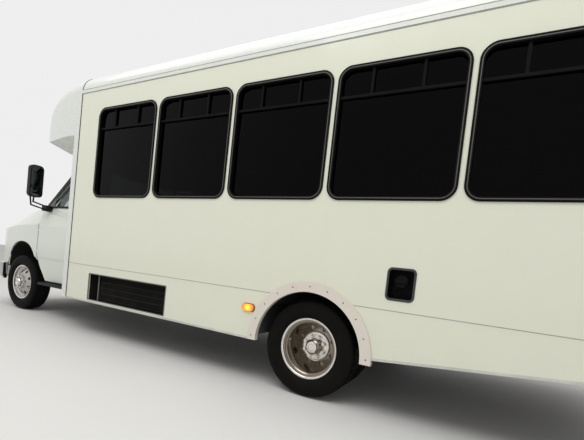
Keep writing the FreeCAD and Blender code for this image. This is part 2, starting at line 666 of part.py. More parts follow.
def running_gear():
    """Engine with its gearbox, fuel tank and exhaust between the rails."""
    engine = box(x_front_axle - 500, x_front_axle + 250, -280, 280, 540, 1020)
    y_web = size.rail_outside / 2 - rail_web - size.fit_gap
    mounts = box(x_front_axle - 100, x_front_axle + 100, -y_web, y_web, 560, 600)
    gearbox = box(x_gearbox, x_front_axle - 490, -130, 130, 430, 640)
    placed(fuse([engine, mounts, gearbox]), "engine_block")
    tank = box(-1900, -760, -170, 340, 400, 640)
    tank = tank.makeFillet(50, [e for e in tank.Edges if abs(e.Vertexes[0].Y - e.Vertexes[1].Y) < 1])
    straps = [box(x - 25, x + 25, -y_web, y_web, 640, 660) for x in (-1700, -960)]
    placed(fuse([tank] + straps), "fuel_tank")
    y_pipe, z_pipe = -270, 500
    x_outlet = x_front_axle - 300
    pipe = rod(30, (x_rear_face + 30, y_pipe, z_pipe), (x_outlet, y_pipe, z_pipe)).fuse(
        rod(30, (x_outlet, y_pipe + 20, z_pipe), (x_outlet, y_pipe + 20, 540 - size.fit_gap)))
    muffler = rod(95, (1100, y_pipe, 455), (1750, y_pipe, 455))
    hangers = [box(x - 8, x + 8, y_pipe - 20, y_pipe + 20, z_pipe, z_rail_top - 120) for x in cross_members[1:4]]
    placed(fuse([pipe, muffler] + hangers), "exhaust")




# Wheels

tyre_profile = [  # share of half width, radius as a share of the wall from bead to tread
    (0.67, 0.0), (0.67, 0.155), (0.83, 0.20), (1.0, 0.50), (0.97, 0.78), (0.86, 0.95), (0.66, 1.0)]


def revolve_about_y(points, y_middle, x, z):
    """Closed outline of (offset along Y, radius) turned round a wheel's axle."""
    corners = [Vector(x, y_middle + y, z + r) for y, r in points]
    face = Part.Face(Part.makePolygon(corners + corners[:1]))
    return face.revolve(Vector(x, y_middle, z), Vector(0, 1, 0), 360)


def tyre(x, y):
    half = size.tyre_width / 2
    seat = size.bead_radius + size.fit_gap
    wall = size.tyre_radius - seat
    right = [(share * half, seat + up * wall) for share, up in tyre_profile]
    left = [(-y_off, r) for y_off, r in reversed(right)]
    return revolve_about_y(right + left, y, x, size.tyre_radius)


def hand_holes(y_low, y_high, ring, radius, count, x):
    holes = []
    for index in range(count):
        angle = 2 * math.pi * (index + 0.5) / count
        centre = (x + ring * math.cos(angle), size.tyre_radius + ring * math.sin(angle))
        holes.append(rod(radius, (centre[0], y_low, centre[1]), (centre[0], y_high, centre[1])))
    return holes


def lug_nuts(y_low, y_high, x):
    nuts = []
    for index in range(8):
        angle = 2 * math.pi * (index + 0.5) / 8
        centre = (x + 82 * math.cos(angle), size.tyre_radius + 82 * math.sin(angle))
        nuts.append(rod(14, (centre[0], y_low, centre[1]), (centre[0], y_high, centre[1])))
    return nuts


def front_rim(x, y, side):
    """Rim with a disc that bulges outwards to the hub, eight nuts and the hub's cap."""
    lip, half = size.rim_lip, size.rim_width / 2
    seat = size.bead_radius
    bore = 30.3
    outline = [(half, lip), (half - 5, lip), (half - 10, seat), (-half + 10, seat), (-half + 5, lip), (-half, lip),
               (-half, seat - 8), (half - 34, seat - 16), (38, 168), (72, 118), (70, 60), (-12, 60), (-12, bore),
               (66, bore), (66, 0), (142, 0), (142, 38), (132, 50), (100, 54), (92, 66), (90, 108), (84, 122),
               (50, 176), (half - 22, seat - 8)]
    rim = revolve_about_y([(side * y_off, r) for y_off, r in outline], y, x, size.tyre_radius)
    y_face = y + side * 88
    nuts = lug_nuts(*sorted((y_face, y_face + side * 24)), x)
    holes = hand_holes(*sorted((y + side * 20, y + side * 120)), 150, 19, 8, x)
    return fuse([rim] + nuts).cut(holes)


def twin_rims(y, side):
    """Deep dished outer wheel and its inner twin on one hub and drum."""
    lip, half, seat = size.rim_lip, size.rim_width / 2, size.bead_radius
    pitch = size.twin_spacing
    bore = 40.3
    outline = [(half, lip), (half - 5, lip), (half - 10, seat), (-half + 10, seat), (-half + 5, lip), (-half, lip),
               (-half, seat - 8), (-half - 30, seat - 30), (-pitch / 2 + 4, 130), (-pitch / 2 + 4, 170),
               (-pitch + half - 16, seat - 8), (-pitch + half, lip), (-pitch + half - 5, lip),
               (-pitch + half - 10, seat), (-pitch - half + 10, seat), (-pitch - half + 5, lip), (-pitch - half, lip),
               (-pitch - half, seat - 8), (-pitch + 20, seat - 12), (-pitch + 20, 150), (-pitch - 40, 150),
               (-pitch - 40, bore), (-20, bore), (-20, 0), (18, 0), (18, 44), (6, 58), (-56, 60), (-58, 106),
               (-66, 118), (-half + 6, 172), (half - 26, seat - 10)]
    rim = revolve_about_y([(side * y_off, r) for y_off, r in outline], y, 0, size.tyre_radius)
    y_face = y - side * 62
    nuts = lug_nuts(*sorted((y_face, y_face + side * 28)), 0)
    holes = hand_holes(*sorted((y - side * 90, y - side * 40)), 146, 19, 8, 0)
    return fuse([rim] + nuts).cut(holes)


def wheels():
    for name, side in (("left", 1), ("right", -1)):
        y_front = side * size.front_track / 2
        placed(tyre(x_front_axle, y_front), "tyre_front_" + name)
        placed(front_rim(x_front_axle, y_front, side), "rim_front_" + name)
        y_outer = side * (size.rear_track + size.twin_spacing) / 2
        y_inner = side * (size.rear_track - size.twin_spacing) / 2
        placed(Part.makeCompound([tyre(0, y_outer), tyre(0, y_inner)]), "tyres_rear_" + name)
        placed(twin_rims(y_outer, side), "rims_rear_" + name)


def knuckle(side, label):
    """Yoke over the beam's boss, kingpin through it, and the wheel's spindle."""
    y_pin, z = side * size.kingpin_track / 2, size.tyre_radius
    pin = Part.makeCylinder(20, 160, Vector(x_front_axle, y_pin, z - 80))
    ears = [box(x_front_axle - 34, x_front_axle + 34, *sorted((y_pin - side * 34, y_pin + side * 62)), low, low + 30)
            for low in (z - 80, z + 50)]
    web = box(x_front_axle - 34, x_front_axle + 34, *sorted((y_pin + side * 42, y_pin + side * 62)), z - 80, z + 80)
    spindle_end = side * (size.front_track / 2 + 60)
    spindle = rod(30, (x_front_axle, y_pin + side * 60, z), (x_front_axle, spindle_end, z))
    placed(fuse([pin, web, spindle] + ears), label)


# Front cap: strip, flares and the nose over the cab

nose_stations = [  # forward of the strip, half width, roof edge, crown, crease, foot, its half width, corner
    (0, 1219, 2840, 2865, 2165, 2012, 862, 190),
    (330, 1192, 2800, 2828, 2165, 2048, 862, 200),
    (620, 1134, 2700, 2732, 2168, 2092, 855, 200),
    (820, 1048, 2560, 2590, 2200, 2145, 800, 170),
    (930, 926, 2450, 2470, 2258, 2212, 700, 90),
]


def nose_wire(station, inset):
    """Section of the cap's nose: straight sides, round shoulders, foot tucked in under a crease."""
    forward, half, top, crown, crease, foot, half_foot, corner = station
    x = x_seam + size.cap_strip + size.fit_gap + (forward if inset == 0 else 0.96 * forward - 1)
    side, tuck = half - inset, half_foot - inset * 0.4
    z_foot, z_crease = foot + inset * 0.6, crease + inset * 0.4
    r = corner - inset * 0.5
    z_top, z_crown = top - inset, crown - inset
    edge, z_spring, k = side - r, z_top - r, r * math.sqrt(0.5)

    def at(y, z):
        return Vector(x, y, z)
    return Part.Wire([
        Part.LineSegment(at(tuck, z_foot), at(side, z_crease)).toShape(),
        Part.LineSegment(at(side, z_crease), at(side, z_spring)).toShape(),
        Part.Arc(at(side, z_spring), at(edge + k, z_spring + k), at(edge, z_top)).toShape(),
        Part.Arc(at(edge, z_top), at(0, z_crown), at(-edge, z_top)).toShape(),
        Part.Arc(at(-edge, z_top), at(-edge - k, z_spring + k), at(-side, z_spring)).toShape(),
        Part.LineSegment(at(-side, z_spring), at(-side, z_crease)).toShape(),
        Part.LineSegment(at(-side, z_crease), at(-tuck, z_foot)).toShape(),
        Part.LineSegment(at(-tuck, z_foot), at(tuck, z_foot)).toShape(),
    ])


def nose_form():
    return Part.makeLoft([nose_wire(station, 0) for station in nose_stations], True)


def front_cap():
    x_strip = x_seam + size.cap_strip
    z_low = size.skirt_bottom
    strip = body_arch(0, z_low, x_seam).extrude(Vector(size.cap_strip, 0, 0))
    strip = strip.cut(body_arch(size.wall, z_low - 1, x_seam - 1).extrude(Vector(size.cap_strip + 2, 0, 0)))
    inner = Part.makeLoft([nose_wire(station, size.wall) for station in nose_stations], True)
    nose = nose_form().cut(inner)
    # Forward-facing flares close the step between the body and the cab door, and lean in with it
    z_nose = nose_stations[0][5]
    inner_edge = [(885, z_low), (885, size.belt_height - 235), (835, size.belt_height),
                  (738, z_nose - size.fit_gap)]
    flare = prism(polygon(inner_edge + [(y_side - 1, z_nose - size.fit_gap), (y_side - 1, z_low)], "YZ",
                          x_strip - 42), "YZ", 22)
    placed(Part.makeCompound([fuse([strip, flare, mirrored(flare)]), nose]), "front_cap")


# Van front: one rounded outer form, split into hood, fenders and grille

fender_back = 360
crease_foot, crease_head, crease_depth = 715, 752, 14  # step along the foot of the doors and fenders

front_stations = [  # from the front axle: forward, shoulder half width, shoulder height, hood edge, its height, crown
    (-430, 1003, 1160, 850, 1405, 1434),
    (-60, 1000, 1150, 838, 1380, 1414),
    (400, 975, 1100, 800, 1262, 1318),
    (860, 915, 990, 740, 1040, 1092),
]


def front_form(inset):
    """Outer form of the van's front, brought in all round by 'inset'."""
    wires = []
    for forward, half, z_shoulder, y_edge, z_edge, z_crown in front_stations:
        x = x_front_axle + forward
        points = [(half - crease_depth - 10 - inset, 400), (half - crease_depth - inset, crease_foot),
                  (half - inset, crease_head), (half - inset, z_shoulder - inset),
                  (y_edge - inset * 0.6, z_edge - inset)]

        def at(y, z):
            return Vector(x, y, z)
        right = [at(y, z) for y, z in points]
        left = [at(-y, z) for y, z in points]
        edges = [Part.LineSegment(*pair).toShape() for pair in zip(right, right[1:])]
        edges.append(Part.Arc(right[-1], at(0, z_crown - inset), left[-1]).toShape())
        edges += [Part.LineSegment(*pair).toShape() for pair in zip(left[::-1], left[-2::-1])]
        edges.append(Part.LineSegment(left[0], right[0]).toShape())
        wires.append(Part.Wire(edges))
    body = Part.makeLoft(wires, True)
    plan = plan_outline(inset)
    side = front_side(inset)
    return body.common(plan).common(side)


def plan_outline(inset):
    """Seen from above: straight flanks, round corners and a gently bowed nose."""
    x0 = x_front_axle
    start = Vector(x0 - 500, 1100, 300)
    flank = Vector(x0 + 330, 1100, 300)
    side_point = Vector(x0 + 420 - inset, 985 - inset, 300)
    corner = Vector(x0 + 690 - inset, 885 - inset, 300)
    front = Vector(x0 + 775 - inset, 700 - inset * 0.5, 300)
    mid = Vector(x0 + 610 - inset, 935 - inset, 300)
    bow = Vector(x0 + 800 - inset, 0, 300)
    flip = [Vector(p.x, -p.y, p.z) for p in (start, flank, side_point, mid, corner, front)]
    corner_mid = Vector((corner.x + front.x) / 2 + 16, (corner.y + front.y) / 2 + 10, 300)
    corner_flip = Vector(corner_mid.x, -corner_mid.y, 300)
    edges = [
        Part.LineSegment(start, flank).toShape(),
        Part.LineSegment(flank, side_point).toShape(),
        Part.LineSegment(side_point, mid).toShape(),
        Part.LineSegment(mid, corner).toShape(),
        Part.Arc(corner, corner_mid, front).toShape(),
        Part.Arc(front, bow, flip[5]).toShape(),
        Part.Arc(flip[5], corner_flip, flip[4]).toShape(),
        Part.LineSegment(flip[4], flip[3]).toShape(),
        Part.LineSegment(flip[3], flip[2]).toShape(),
        Part.LineSegment(flip[2], flip[1]).toShape(),
        Part.LineSegment(flip[1], flip[0]).toShape(),
        Part.LineSegment(flip[0], start).toShape(),
    ]
    return Part.Face(Part.Wire(edges)).extrude(Vector(0, 0, 1400))


def front_side(inset):
    """Seen from the side: an upright nose whose top rolls back into the hood."""
    x0 = x_front_axle
    z_roll = 1180 - inset
    points = [(x0 - 600, 300), (x0 + 800 - inset, 300), (x0 + 800 - inset, 900), (x0 + 770 - inset, 1060 - inset),
              (x0 + 690 - inset, z_roll), (x0 + 560, 1500), (x0 - 600, 1600)]
    return prism(polygon(points, "XZ", -1300), "XZ", 2600)


arch_points = [(-600, 300), (-475, 540), (-420, 640), (-360, 700), (-310, 770), (-240, 850), (-150, 905), (-40, 930),
               (80, 930), (200, 900), (290, 840), (350, 760), (400, 660), (425, 560), (430, 300)]


def arch_cut():
    """Front wheel arch through both flanks."""
    points = [(x_front_axle + x, z) for x, z in arch_points]
    opening = prism(polygon(points, "XZ", 560), "XZ", 700)
    return [opening, mirrored(opening)]


hood_back = 290
hood_hinge = (306, 1380)
hood_hinge_sides = (-620, 620)


def hood_region():
    """Space that the hood takes out of the front form, over its shut line."""
    x0 = x_front_axle
    points = [(x0 - hood_back, 812), (x0 + 380, 770), (x0 + 640, 716), (x0 + 900, 690)]
    points += [(x, -y) for x, y in reversed(points)]
    plan = prism(polygon(points, "XY", 1085), "XY", 500)
    return plan


def van_front():
    shell = front_form(0).cut(front_form(size.cab_skin))
    x0 = x_front_axle
    gap = 5
    hood_plan = hood_region()
    hood = shell.common(hood_plan)
    x_pin, z_pin = x0 - hood_hinge[0], hood_hinge[1]
    barrels = [rod(11, (x_pin, y - 20, z_pin), (x_pin, y + 20, z_pin)) for y in hood_hinge_sides]
    bores = [rod(6.3, (x_pin, y - 30, z_pin), (x_pin, y + 30, z_pin)) for y in hood_hinge_sides]
    webs = [box(x_pin, x0 - hood_back + 20, y - 18, y + 18, z_pin - 4, z_pin + 12) for y in hood_hinge_sides]
    placed(fuse([hood] + barrels + webs).cut(bores), "hood")
    # Fenders: what stays outside the shut line, behind the grille opening
    keep_out = hood_plan.copy()
    moved = [keep_out.translated(Vector(0, dy, -gap)) for dy in (-gap, gap)]
    moved.append(box(x0 - fender_back - 1, x0 - hood_back + 1, -812 - gap, 812 + gap, 1085, 1500))
    fender_zone = [box(x0 - fender_back, x0 + 900, *sorted((side * 560, side * 1100)), 430, 1450) for side in (1, -1)]
    fenders = []
    headlamp_hole = [headlamp_block(side, size.fit_gap) for side in (1, -1)]
    bumper_space = box(x0 + 440, x0 + 900, -1100, 1100, 300, 600)
    for zone in fender_zone:
        part = shell.common(zone).cut(moved + arch_cut() + headlamp_hole + [bumper_space, grille_block(size.fit_gap)])
        fenders.append(max(part.Solids, key=lambda s: s.Volume))
    placed(Part.makeCompound(fenders), "fenders")
    # Grille: bars across the opening between the lamps
    opening = shell.common(grille_block(0))
    inner = shell.common(box(x0 + 500, x0 + 900, -500, 500, 780, 1045))
    bars = [box(x0 + 740, x0 + 785, -505, 505, z, z + 16) for z in (830, 880, 930, 980)]
    bars += [box(x0 + 745, x0 + 778, y - 8, y + 8, 775, 1050) for y in (-375, -250, -125, 0, 125, 250, 375)]
    placed(fuse([opening.cut(inner)] + bars), "grille")
    # Headlamps fill their openings in the corners
    lamps = [front_form(2).common(headlamp_block(side, 0)).cut(front_form(60)) for side in (1, -1)]
    placed(Part.makeCompound(lamps), "headlamps")


def grille_block(clearance):
    c = clearance
    return box(x_front_axle + 500, x_front_axle + 900, -560 - c, 560 + c, 655 - c, 1080 + c)


def headlamp_block(side, clearance):
    c = clearance
    low, high = sorted((side * (566 - c), side * (960 + c)))
    return box(x_front_axle + 560 - c, x_front_axle + 900, low, high, 820 - c, 1060 + c)


def front_bumper():
    """Bowed bumper that wraps the front corners, on brackets from the rails."""
    x0 = x_front_axle
    low, step, high = 372, 400, 592
    outer = plan_outline(-30).common(box(x0 + 455, x0 + 900, -1004, 1004, step, high))
    lip = plan_outline(-12).common(box(x0 + 455, x0 + 900, -990, 990, low, step))
    inner = plan_outline(20).common(box(x0 + 300, x0 + 900, -1100, 1100, low - 20, high + 15))
    shell = outer.fuse(lip).cut(inner)
    brackets = [box(x0 + 560, x0 + 790, side * 400 - 30, side * 400 + 30, 530, 580) for side in (1, -1)]
    placed(fuse([shell] + brackets), "front_bumper")


# Cab: floor, firewall, pillars, windscreen and what is seen through it

def cab_points():
    """Named corners of the cab's side view, from the front axle."""
    x0 = x_front_axle
    return {
        "screen_foot": (x0 - 345, 1396),
        "screen_head": (x0 - 900, 2010),
        "pillar_foot": (x0 - 402, size.belt_height),
        "pillar_head": (x0 - 945, size.cab_roof - 15),
    }


def across(shape_left):
    return [shape_left, mirrored(shape_left)]


def cab_shell():
    """Cab tub with firewall, engine cover, pillars and roof rails up to the cap."""
    x0, x_back = x_front_axle, x_seam + size.cap_strip + 8
    corner = cab_points()
    low = size.cab_floor
    (x_foot, z_foot), (x_head, z_head) = corner["screen_foot"], corner["screen_head"]
    x_wall = x0 - fender_back
    inside = front_form(size.cab_skin + size.fit_gap)
    firewall = inside.common(box(x_wall, x_wall + 20, -1000, 1000, low - 60, z_foot - size.fit_gap))
    firewall = firewall.cut(box(x_wall - 1, x_wall + 21, -435, 435, low - 61, z_rail_top + size.fit_gap))
    floor_pan = box(x_back, x_wall, -880, 880, low, low + 24)
    doghouse = box(x0 - 620, x_wall, -330, 330, low, 1060)
    doghouse_space = box(x0 - 600, x_wall + 21, -310, 310, low - 61, 1040)
    cowl = box(x_wall, x0 - 250, -780, 780, 1318, 1335)
    pieces = [firewall, floor_pan, doghouse, cowl]
    pieces += across(box(x_back, x0 - 560, 850, 905, size.door_sill - 6, low + 2))
    # Windscreen pillars, door posts and roof rails all lean in with the door glass
    foot = polygon([(x_foot - 60, 800), (x_foot - 12, 800), (x_foot - 12, 862), (x_foot - 60, 862)],
                   "XY", 1300)
    head = polygon([(x_head - 60, 700), (x_head, 700), (x_head, 762), (x_head - 60, 762)], "XY", z_head + 10)
    pieces += across(Part.makeLoft([foot.OuterWire, head.OuterWire], True, True))
    post_foot = polygon([(x_back, 820), (x_back + 34, 820), (x_back + 34, 875), (x_back, 875)], "XY", low)
    post_head = polygon([(x_back, 700), (x_back + 34, 700), (x_back + 34, 770), (x_back, 770)], "XY",
                        z_head + 1)
    pieces += across(Part.makeLoft([post_foot.OuterWire, post_head.OuterWire], True, True))
    top = 2200
    rail = box(x_back, x_head, 700, 790, size.cab_roof + 8, top)
    header = box(x_head - 60, x_head + 20, -790, 790, size.cab_roof + 8, top)
    roof_rails = fuse(across(rail) + [header]).cut(nose_form())
    pieces.append(max(roof_rails.Solids, key=lambda s: s.Volume if s.BoundBox.ZMin < 2050 else 0))
    for x in (x_back + 200, x0 - 480):
        pieces += across(box(x - 40, x + 40, 370, 434, z_rail_top, low))
    # Ears and pins of the hood hinge, and the door hinges' brackets
    x_pin, z_pin = x0 - hood_hinge[0], hood_hinge[1]
    for y in hood_hinge_sides:
        for ear_y in (y - 36, y + 26):
            pieces.append(box(x_pin - 7, x_pin + 4, ear_y, ear_y + 10, 1320, z_pin))
            pieces.append(rod(8, (x_pin, ear_y, z_pin), (x_pin, ear_y + 10, z_pin)))
        pieces.append(rod(6, (x_pin, y - 36, z_pin), (x_pin, y + 36, z_pin)))
    x_door, y_door = door_axis()
    for z in door_hinge_heights:
        for z_low in (z - 28, z + 20):
            pieces += across(box(x_door - 6, x_wall - 1.5, y_door - 60, y_door + 4, z_low, z_low + 8).fuse(
                box(x_wall - 1.5, x_wall + 2, y_door - 60, y_door - 22, z_low, z_low + 8)))
        pieces += across(rod(3.5, (x_door, y_door, z - 28), (x_door, y_door, z + 28)))
    placed(fuse(pieces).cut(doghouse_space), "cab_shell")


door_hinge_heights = (820, 1090)


def door_axis():
    """Front edge of the cab door, close under its outer face."""
    return x_front_axle - fender_back - 9, size.cab_half_width - 7


def windshield():
    (x_foot, z_foot), (x_head, z_head) = cab_points()["screen_foot"], cab_points()["screen_head"]
    y_foot, y_head = 796, 696
    corners = [Vector(x_foot, -y_foot, z_foot), Vector(x_foot, y_foot, z_foot),
               Vector(x_head + 24, y_head, z_head - 3), Vector(x_head + 24, -y_head, z_head - 3)]
    pane = Part.Face(Part.makePolygon(corners + corners[:1]))
    normal = pane.normalAt(0, 0)
    normal = normal if normal.x > 0 else normal.negative()
    placed(pane.extrude(normal * size.glass), "windshield")


def dashboard():
    x0 = x_front_axle
    x_wall = x0 - fender_back - size.fit_gap
    profile = polygon([(x_wall, 960), (x_wall, 1338), (x0 - 560, 1350), (x0 - 700, 1290), (x0 - 715, 1190),
                       (x0 - 640, 1000)], "XZ", -840)
    column = rod(30, (x0 - 640, 430, 1124), (x0 - 800, 430, 1204))
    doghouse_room = box(x0 - 621, x0, -330.3, 330.3, 900, 1060.3)
    pillar_room = across(box(x0 - 455, x0, 790, 900, 1290, 1400))
    dash = prism(profile, "XZ", 1680).cut([doghouse_room] + pillar_room).fuse(column)
    placed(dash, "dashboard")
    centre, lean = Vector(x0 - 812, 430, 1210), Vector(-0.894, 0, 0.447)
    across_rim = Rotation(Vector(0, 0, 1), lean)
    ring = [centre + across_rim.multVec(Vector(190 + 15 * math.cos(a), 0, 15 * math.sin(a)))
            for a in (math.pi / 4 * (step + 0.5) for step in range(8))]
    rim = Part.Face(Part.makePolygon(ring + ring[:1])).revolve(centre, lean, 360)
    spokes = [Part.makeCylinder(12, 184, centre, Rotation(lean, angle).multVec(Vector(0, 1, 0)))
              for angle in (0, 180, 270)]
    hub = Part.makeCylinder(50, 30, centre - lean * 13, lean)
    placed(fuse([rim, hub] + spokes), "steering_wheel")


# Cab doors with their panes and mirrors

def door_section(depth):
    """Door profile across the bus: tumblehome above its widest crease."""
    w = size.cab_half_width
    z_shoulder = size.belt_height - 235
    outside = [(w - 30, size.door_sill), (w - crease_depth, crease_foot), (w, crease_head), (w, z_shoulder),
               (w - 52, size.belt_height), (w - 150, size.cab_roof)]
    inside = [(y - depth, z) for y, z in reversed(outside)]
    inside[1:3] = [(w - 52 - depth, size.belt_height - 15), (w - 52 - depth, z_shoulder)]
    return outside + inside


def cab_door(side, name):
    x0, x_back = x_front_axle, x_seam + size.cap_strip + 14
    x_edge = x0 - size.door_front - size.door_gap
    x_pin, y_pin = door_axis()
    corner = cab_points()
    outline = [(x_back, size.door_sill), (x0 - 560, size.door_sill), (x0 - 430, 618), (x0 - 385, 710),
               (x_edge, 810), (x_edge, size.belt_height - 8), corner["pillar_foot"], corner["pillar_head"],
               (x_back, size.cab_roof - 15)]
    slab = prism(polygon(door_section(60), "YZ", x_back - 10), "YZ", 1500)
    door = slab.common(prism(polygon(outline, "XZ", 500), "XZ", 700))
    belt = size.belt_height + 22
    window = [(x_back + 60, belt), (x0 - 480, belt), (x0 - 985, size.cab_roof - 70), (x_back + 60, size.cab_roof - 70)]
    opening = prism(polygon(window, "XZ", 500), "XZ", 700)
    door = door.cut(opening)
    section = door_section(60)
    glass_slab = prism(polygon([(y - 26 if index < len(section) / 2 else y + 26, z) for index, (y, z) in
                                enumerate(section)], "YZ", x_back - 10), "YZ", 1500)
    pane = glass_slab.common(prism(polygon([(x_back + 60.3, belt + 0.3), (x0 - 480.6, belt + 0.3),
                                            (x0 - 985.4, size.cab_roof - 70.3), (x_back + 60.3, size.cab_roof - 70.3)],
                                           "XZ", 500), "XZ", 700))
    pane = max(pane.Solids, key=lambda s: s.Volume)
    handle = box(x_back + 60, x_back + 230, size.cab_half_width - 24, size.cab_half_width + 14,
                 belt - 227, belt - 195)
    hinges = []
    for z in door_hinge_heights:
        hinges += [rod(6.5, (x_pin, y_pin, z - 18), (x_pin, y_pin, z + 18)),
                   box(x_edge - 8, x_pin, y_pin - 5, y_pin + 5, z - 18, z + 18)]
    bores = [rod(3.8, (x_pin, y_pin, z - 30), (x_pin, y_pin, z + 30)) for z in door_hinge_heights]
    door = max(door.Solids, key=lambda s: s.Volume)
    door = fuse([door, handle] + hinges).cut(bores)
    # Mirror: tall head on a bent tube from the door's front corner
    y_foot = size.cab_half_width - 60
    foot = (x0 - 520, size.belt_height - 35)
    base = box(foot[0] - 50, foot[0] + 50, y_foot - 20, y_foot + 92, foot[1] - 10, foot[1] + 60)
    base = base.cut(slab)
    x_head, y_head = x0 - 630, 1122
    head = rounded_face(y_head, y_head + 150, foot[1] + 130, foot[1] + 515, 45, "YZ", x_head)
    head = head.extrude(Vector(62, 0, 0))
    arms = []
    for drop in (0, 42):
        path = [(foot[0], y_foot + 80, foot[1] + 8 + drop), (x_head + 42, y_head + 100 - drop / 2, foot[1] + 32 + drop),
                (x_head + 30, y_head + 122 - drop, foot[1] + 140)]
        for start, end in zip(path, path[1:]):
            arms += [rod(9, start, end), Part.makeSphere(9, Vector(*end))]
    mirror = fuse([base, head] + arms)
    solids = [(door, "door_" + name), (pane, "door_glass_" + name), (mirror, "mirror_" + name)]
    for shape, label in solids:
        placed(shape if side > 0 else mirrored(shape), label)


# Entry door, steps and bumpers

entry_pivot = (20, 8, 13)  # pivot from the leaf's edge, pin radius, gap to the jamb


def entry_door():
    x_low, x_high = value(entry_aft), value(entry_fore)
    gap, jamb = size.door_gap, entry_pivot[2]
    low, high = size.entry_foot, size.entry_head - gap
    middle = (x_low + x_high) / 2
    y_face = -y_side + 2
    for name, (x_a, x_b) in (("front", (middle + gap / 2, x_high - jamb)), ("rear", (x_low + jamb, middle - gap / 2))):
        frame = prism(rounded_face(x_a, x_b, low, high, 20, "XZ", y_face), "XZ", size.leaf_thick)
        x_pin = (x_b - entry_pivot[0]) if name == "front" else (x_a + entry_pivot[0])
        bore = rod(entry_pivot[1] + size.fit_gap, (x_pin, y_face + size.leaf_thick / 2, low - 1),
                   (x_pin, y_face + size.leaf_thick / 2, low + 25))
        rim = 62
        hole = prism(rounded_face(x_a + rim, x_b - rim, low + 110, high - rim, 40, "XZ", y_face - 1), "XZ", 80)
        pane = prism(rounded_face(x_a + rim + 0.3, x_b - rim - 0.3, low + 110.3, high - rim - 0.3, 40, "XZ",
                                  y_face + 12), "XZ", size.glass)
        placed(frame.cut([hole, bore]), "entry_leaf_" + name)
        placed(pane, "entry_glass_" + name)


def steps():
    """Stepwell behind the entry door, and the cab's running boards."""
    x_low, x_high = value(entry_aft) + size.fit_gap, value(entry_fore) - size.fit_gap
    y_out = -y_side + size.leaf_thick + 12
    well = polygon([(y_out, 380), (y_out, 400), (-950, 400), (-950, 625), (-770, 625), (-770, z_floor - 2),
                    (-750, z_floor - 2), (-750, 605), (-930, 605), (-930, 380)], "YZ", x_low)
    y_leaf = -y_side + 2 + size.leaf_thick / 2
    sill = box(x_low, x_high, -y_side + 4, y_out + 1, 366, size.entry_foot - size.door_gap)
    pins = [rod(entry_pivot[1], (x, y_leaf, 370), (x, y_leaf, size.entry_foot + 20))
            for x in (value(entry_fore) - entry_pivot[2] - entry_pivot[0],
                      value(entry_aft) + entry_pivot[2] + entry_pivot[0])]
    shapes = [fuse([prism(well, "YZ", x_high - x_low), sill] + pins)]
    for side in (1, -1):
        board = box(x_seam + size.cap_strip + 10, x_front_axle - 590, *sorted((side * 907, side * 1075)), 400, 432)
        y_rail = side * (size.rail_outside / 2 + size.fit_gap)
        bracket = box(x_seam + 300, x_seam + 340, *sorted((y_rail, side * 910)), 400, 425)
        up = box(x_seam + 300, x_seam + 340, *sorted((y_rail, y_rail + side * 40)), 400, size.rail_foot + 60)
        shapes.append(fuse([board, bracket, up]))
    placed(Part.makeCompound(shapes), "steps")


def rear_bumper():
    x_low = -size.rear_overhang
    bar = box(x_low, x_rear_face - 6, -y_side + 30, y_side - 30, 440, 600)
    bar = bar.makeFillet(25, [e for e in bar.Edges if all(abs(v.X - x_low) < 1 for v in e.Vertexes)])
    brackets = [box(x_rear_face - 20, x_rear_face + size.wall, side * 400 - 30, side * 400 + 30, 522, 558)
                for side in (1, -1)]
    placed(fuse([bar] + brackets), "rear_bumper")


def lamps():
    x_back = x_rear_face - size.fit_gap
    tail = [Part.makeCylinder(52, 16, Vector(x_back, side * 1000, z), Vector(-1, 0, 0))
            for side in (1, -1) for z in (960, 1080, 1200)]
    placed(Part.makeCompound(tail), "tail_lamps")
    y_face = y_side + size.fit_gap
    x_amber, z_amber = 528, 608
    side_lamp = prism(rounded_face(x_amber - 55, x_amber + 55, z_amber - 28, z_amber + 28, 26, "XZ", y_face), "XZ", 18)
    markers = [side_lamp, mirrored(side_lamp)]
    for y in (-560, -110, 0, 110, 560):
        markers.append(box(x_rear_face - 18, x_back, y - 40, y + 40, 2640, 2670))
    placed(Part.makeCompound(markers), "marker_lamps")


# Seats

seat_rows_left = (350, -430, -1210)
seat_rows_right = (1130, 350, -430, -1210)


def seat_piece(x, y, width, z_seat):
    """Cushion and leaning back as two plain closed forms."""
    cushion = box(x, x + 440, y - width / 2, y + width / 2, z_seat - 110, z_seat)
    back = polygon([(x - 60, z_seat - 60), (x - size.fit_gap, z_seat - 60), (x - size.fit_gap, z_seat + 4), (x - 70, z_seat + 600),
                    (x - 150, z_seat + 600)], "XZ", y - width / 2)
    return [cushion, prism(back, "XZ", width)]


def seats():
    cushions, frames = [], []
    for side, rows in ((1, seat_rows_left), (-1, seat_rows_right)):
        for x in rows:
            cushions += seat_piece(x, side * 720, 860, 1270)
            legs = [box(x + 40, x + 380, side * y - 20, side * y + 20, z_floor, 1140) for y in (480, 960)]
            beam = box(x - 56, x + 400, side * 720 - 400, side * 720 + 400, 1139, 1159.7)
            frames.append(fuse(legs + [beam]))
    for side in (1, -1):
        x = x_front_axle - 1340
        cushions += seat_piece(x, side * 490, 480, 1000)
        frames.append(fuse([box(x + 60, x + 380, side * 490 - 150, side * 490 + 150, size.cab_floor + 24, 870),
                            box(x - 50, x + 430, side * 490 - 210, side * 490 + 210, 869, 889.7)]))
    placed(Part.makeCompound(cushions), "seat_cushions")
    placed(Part.makeCompound(frames), "seat_frames")


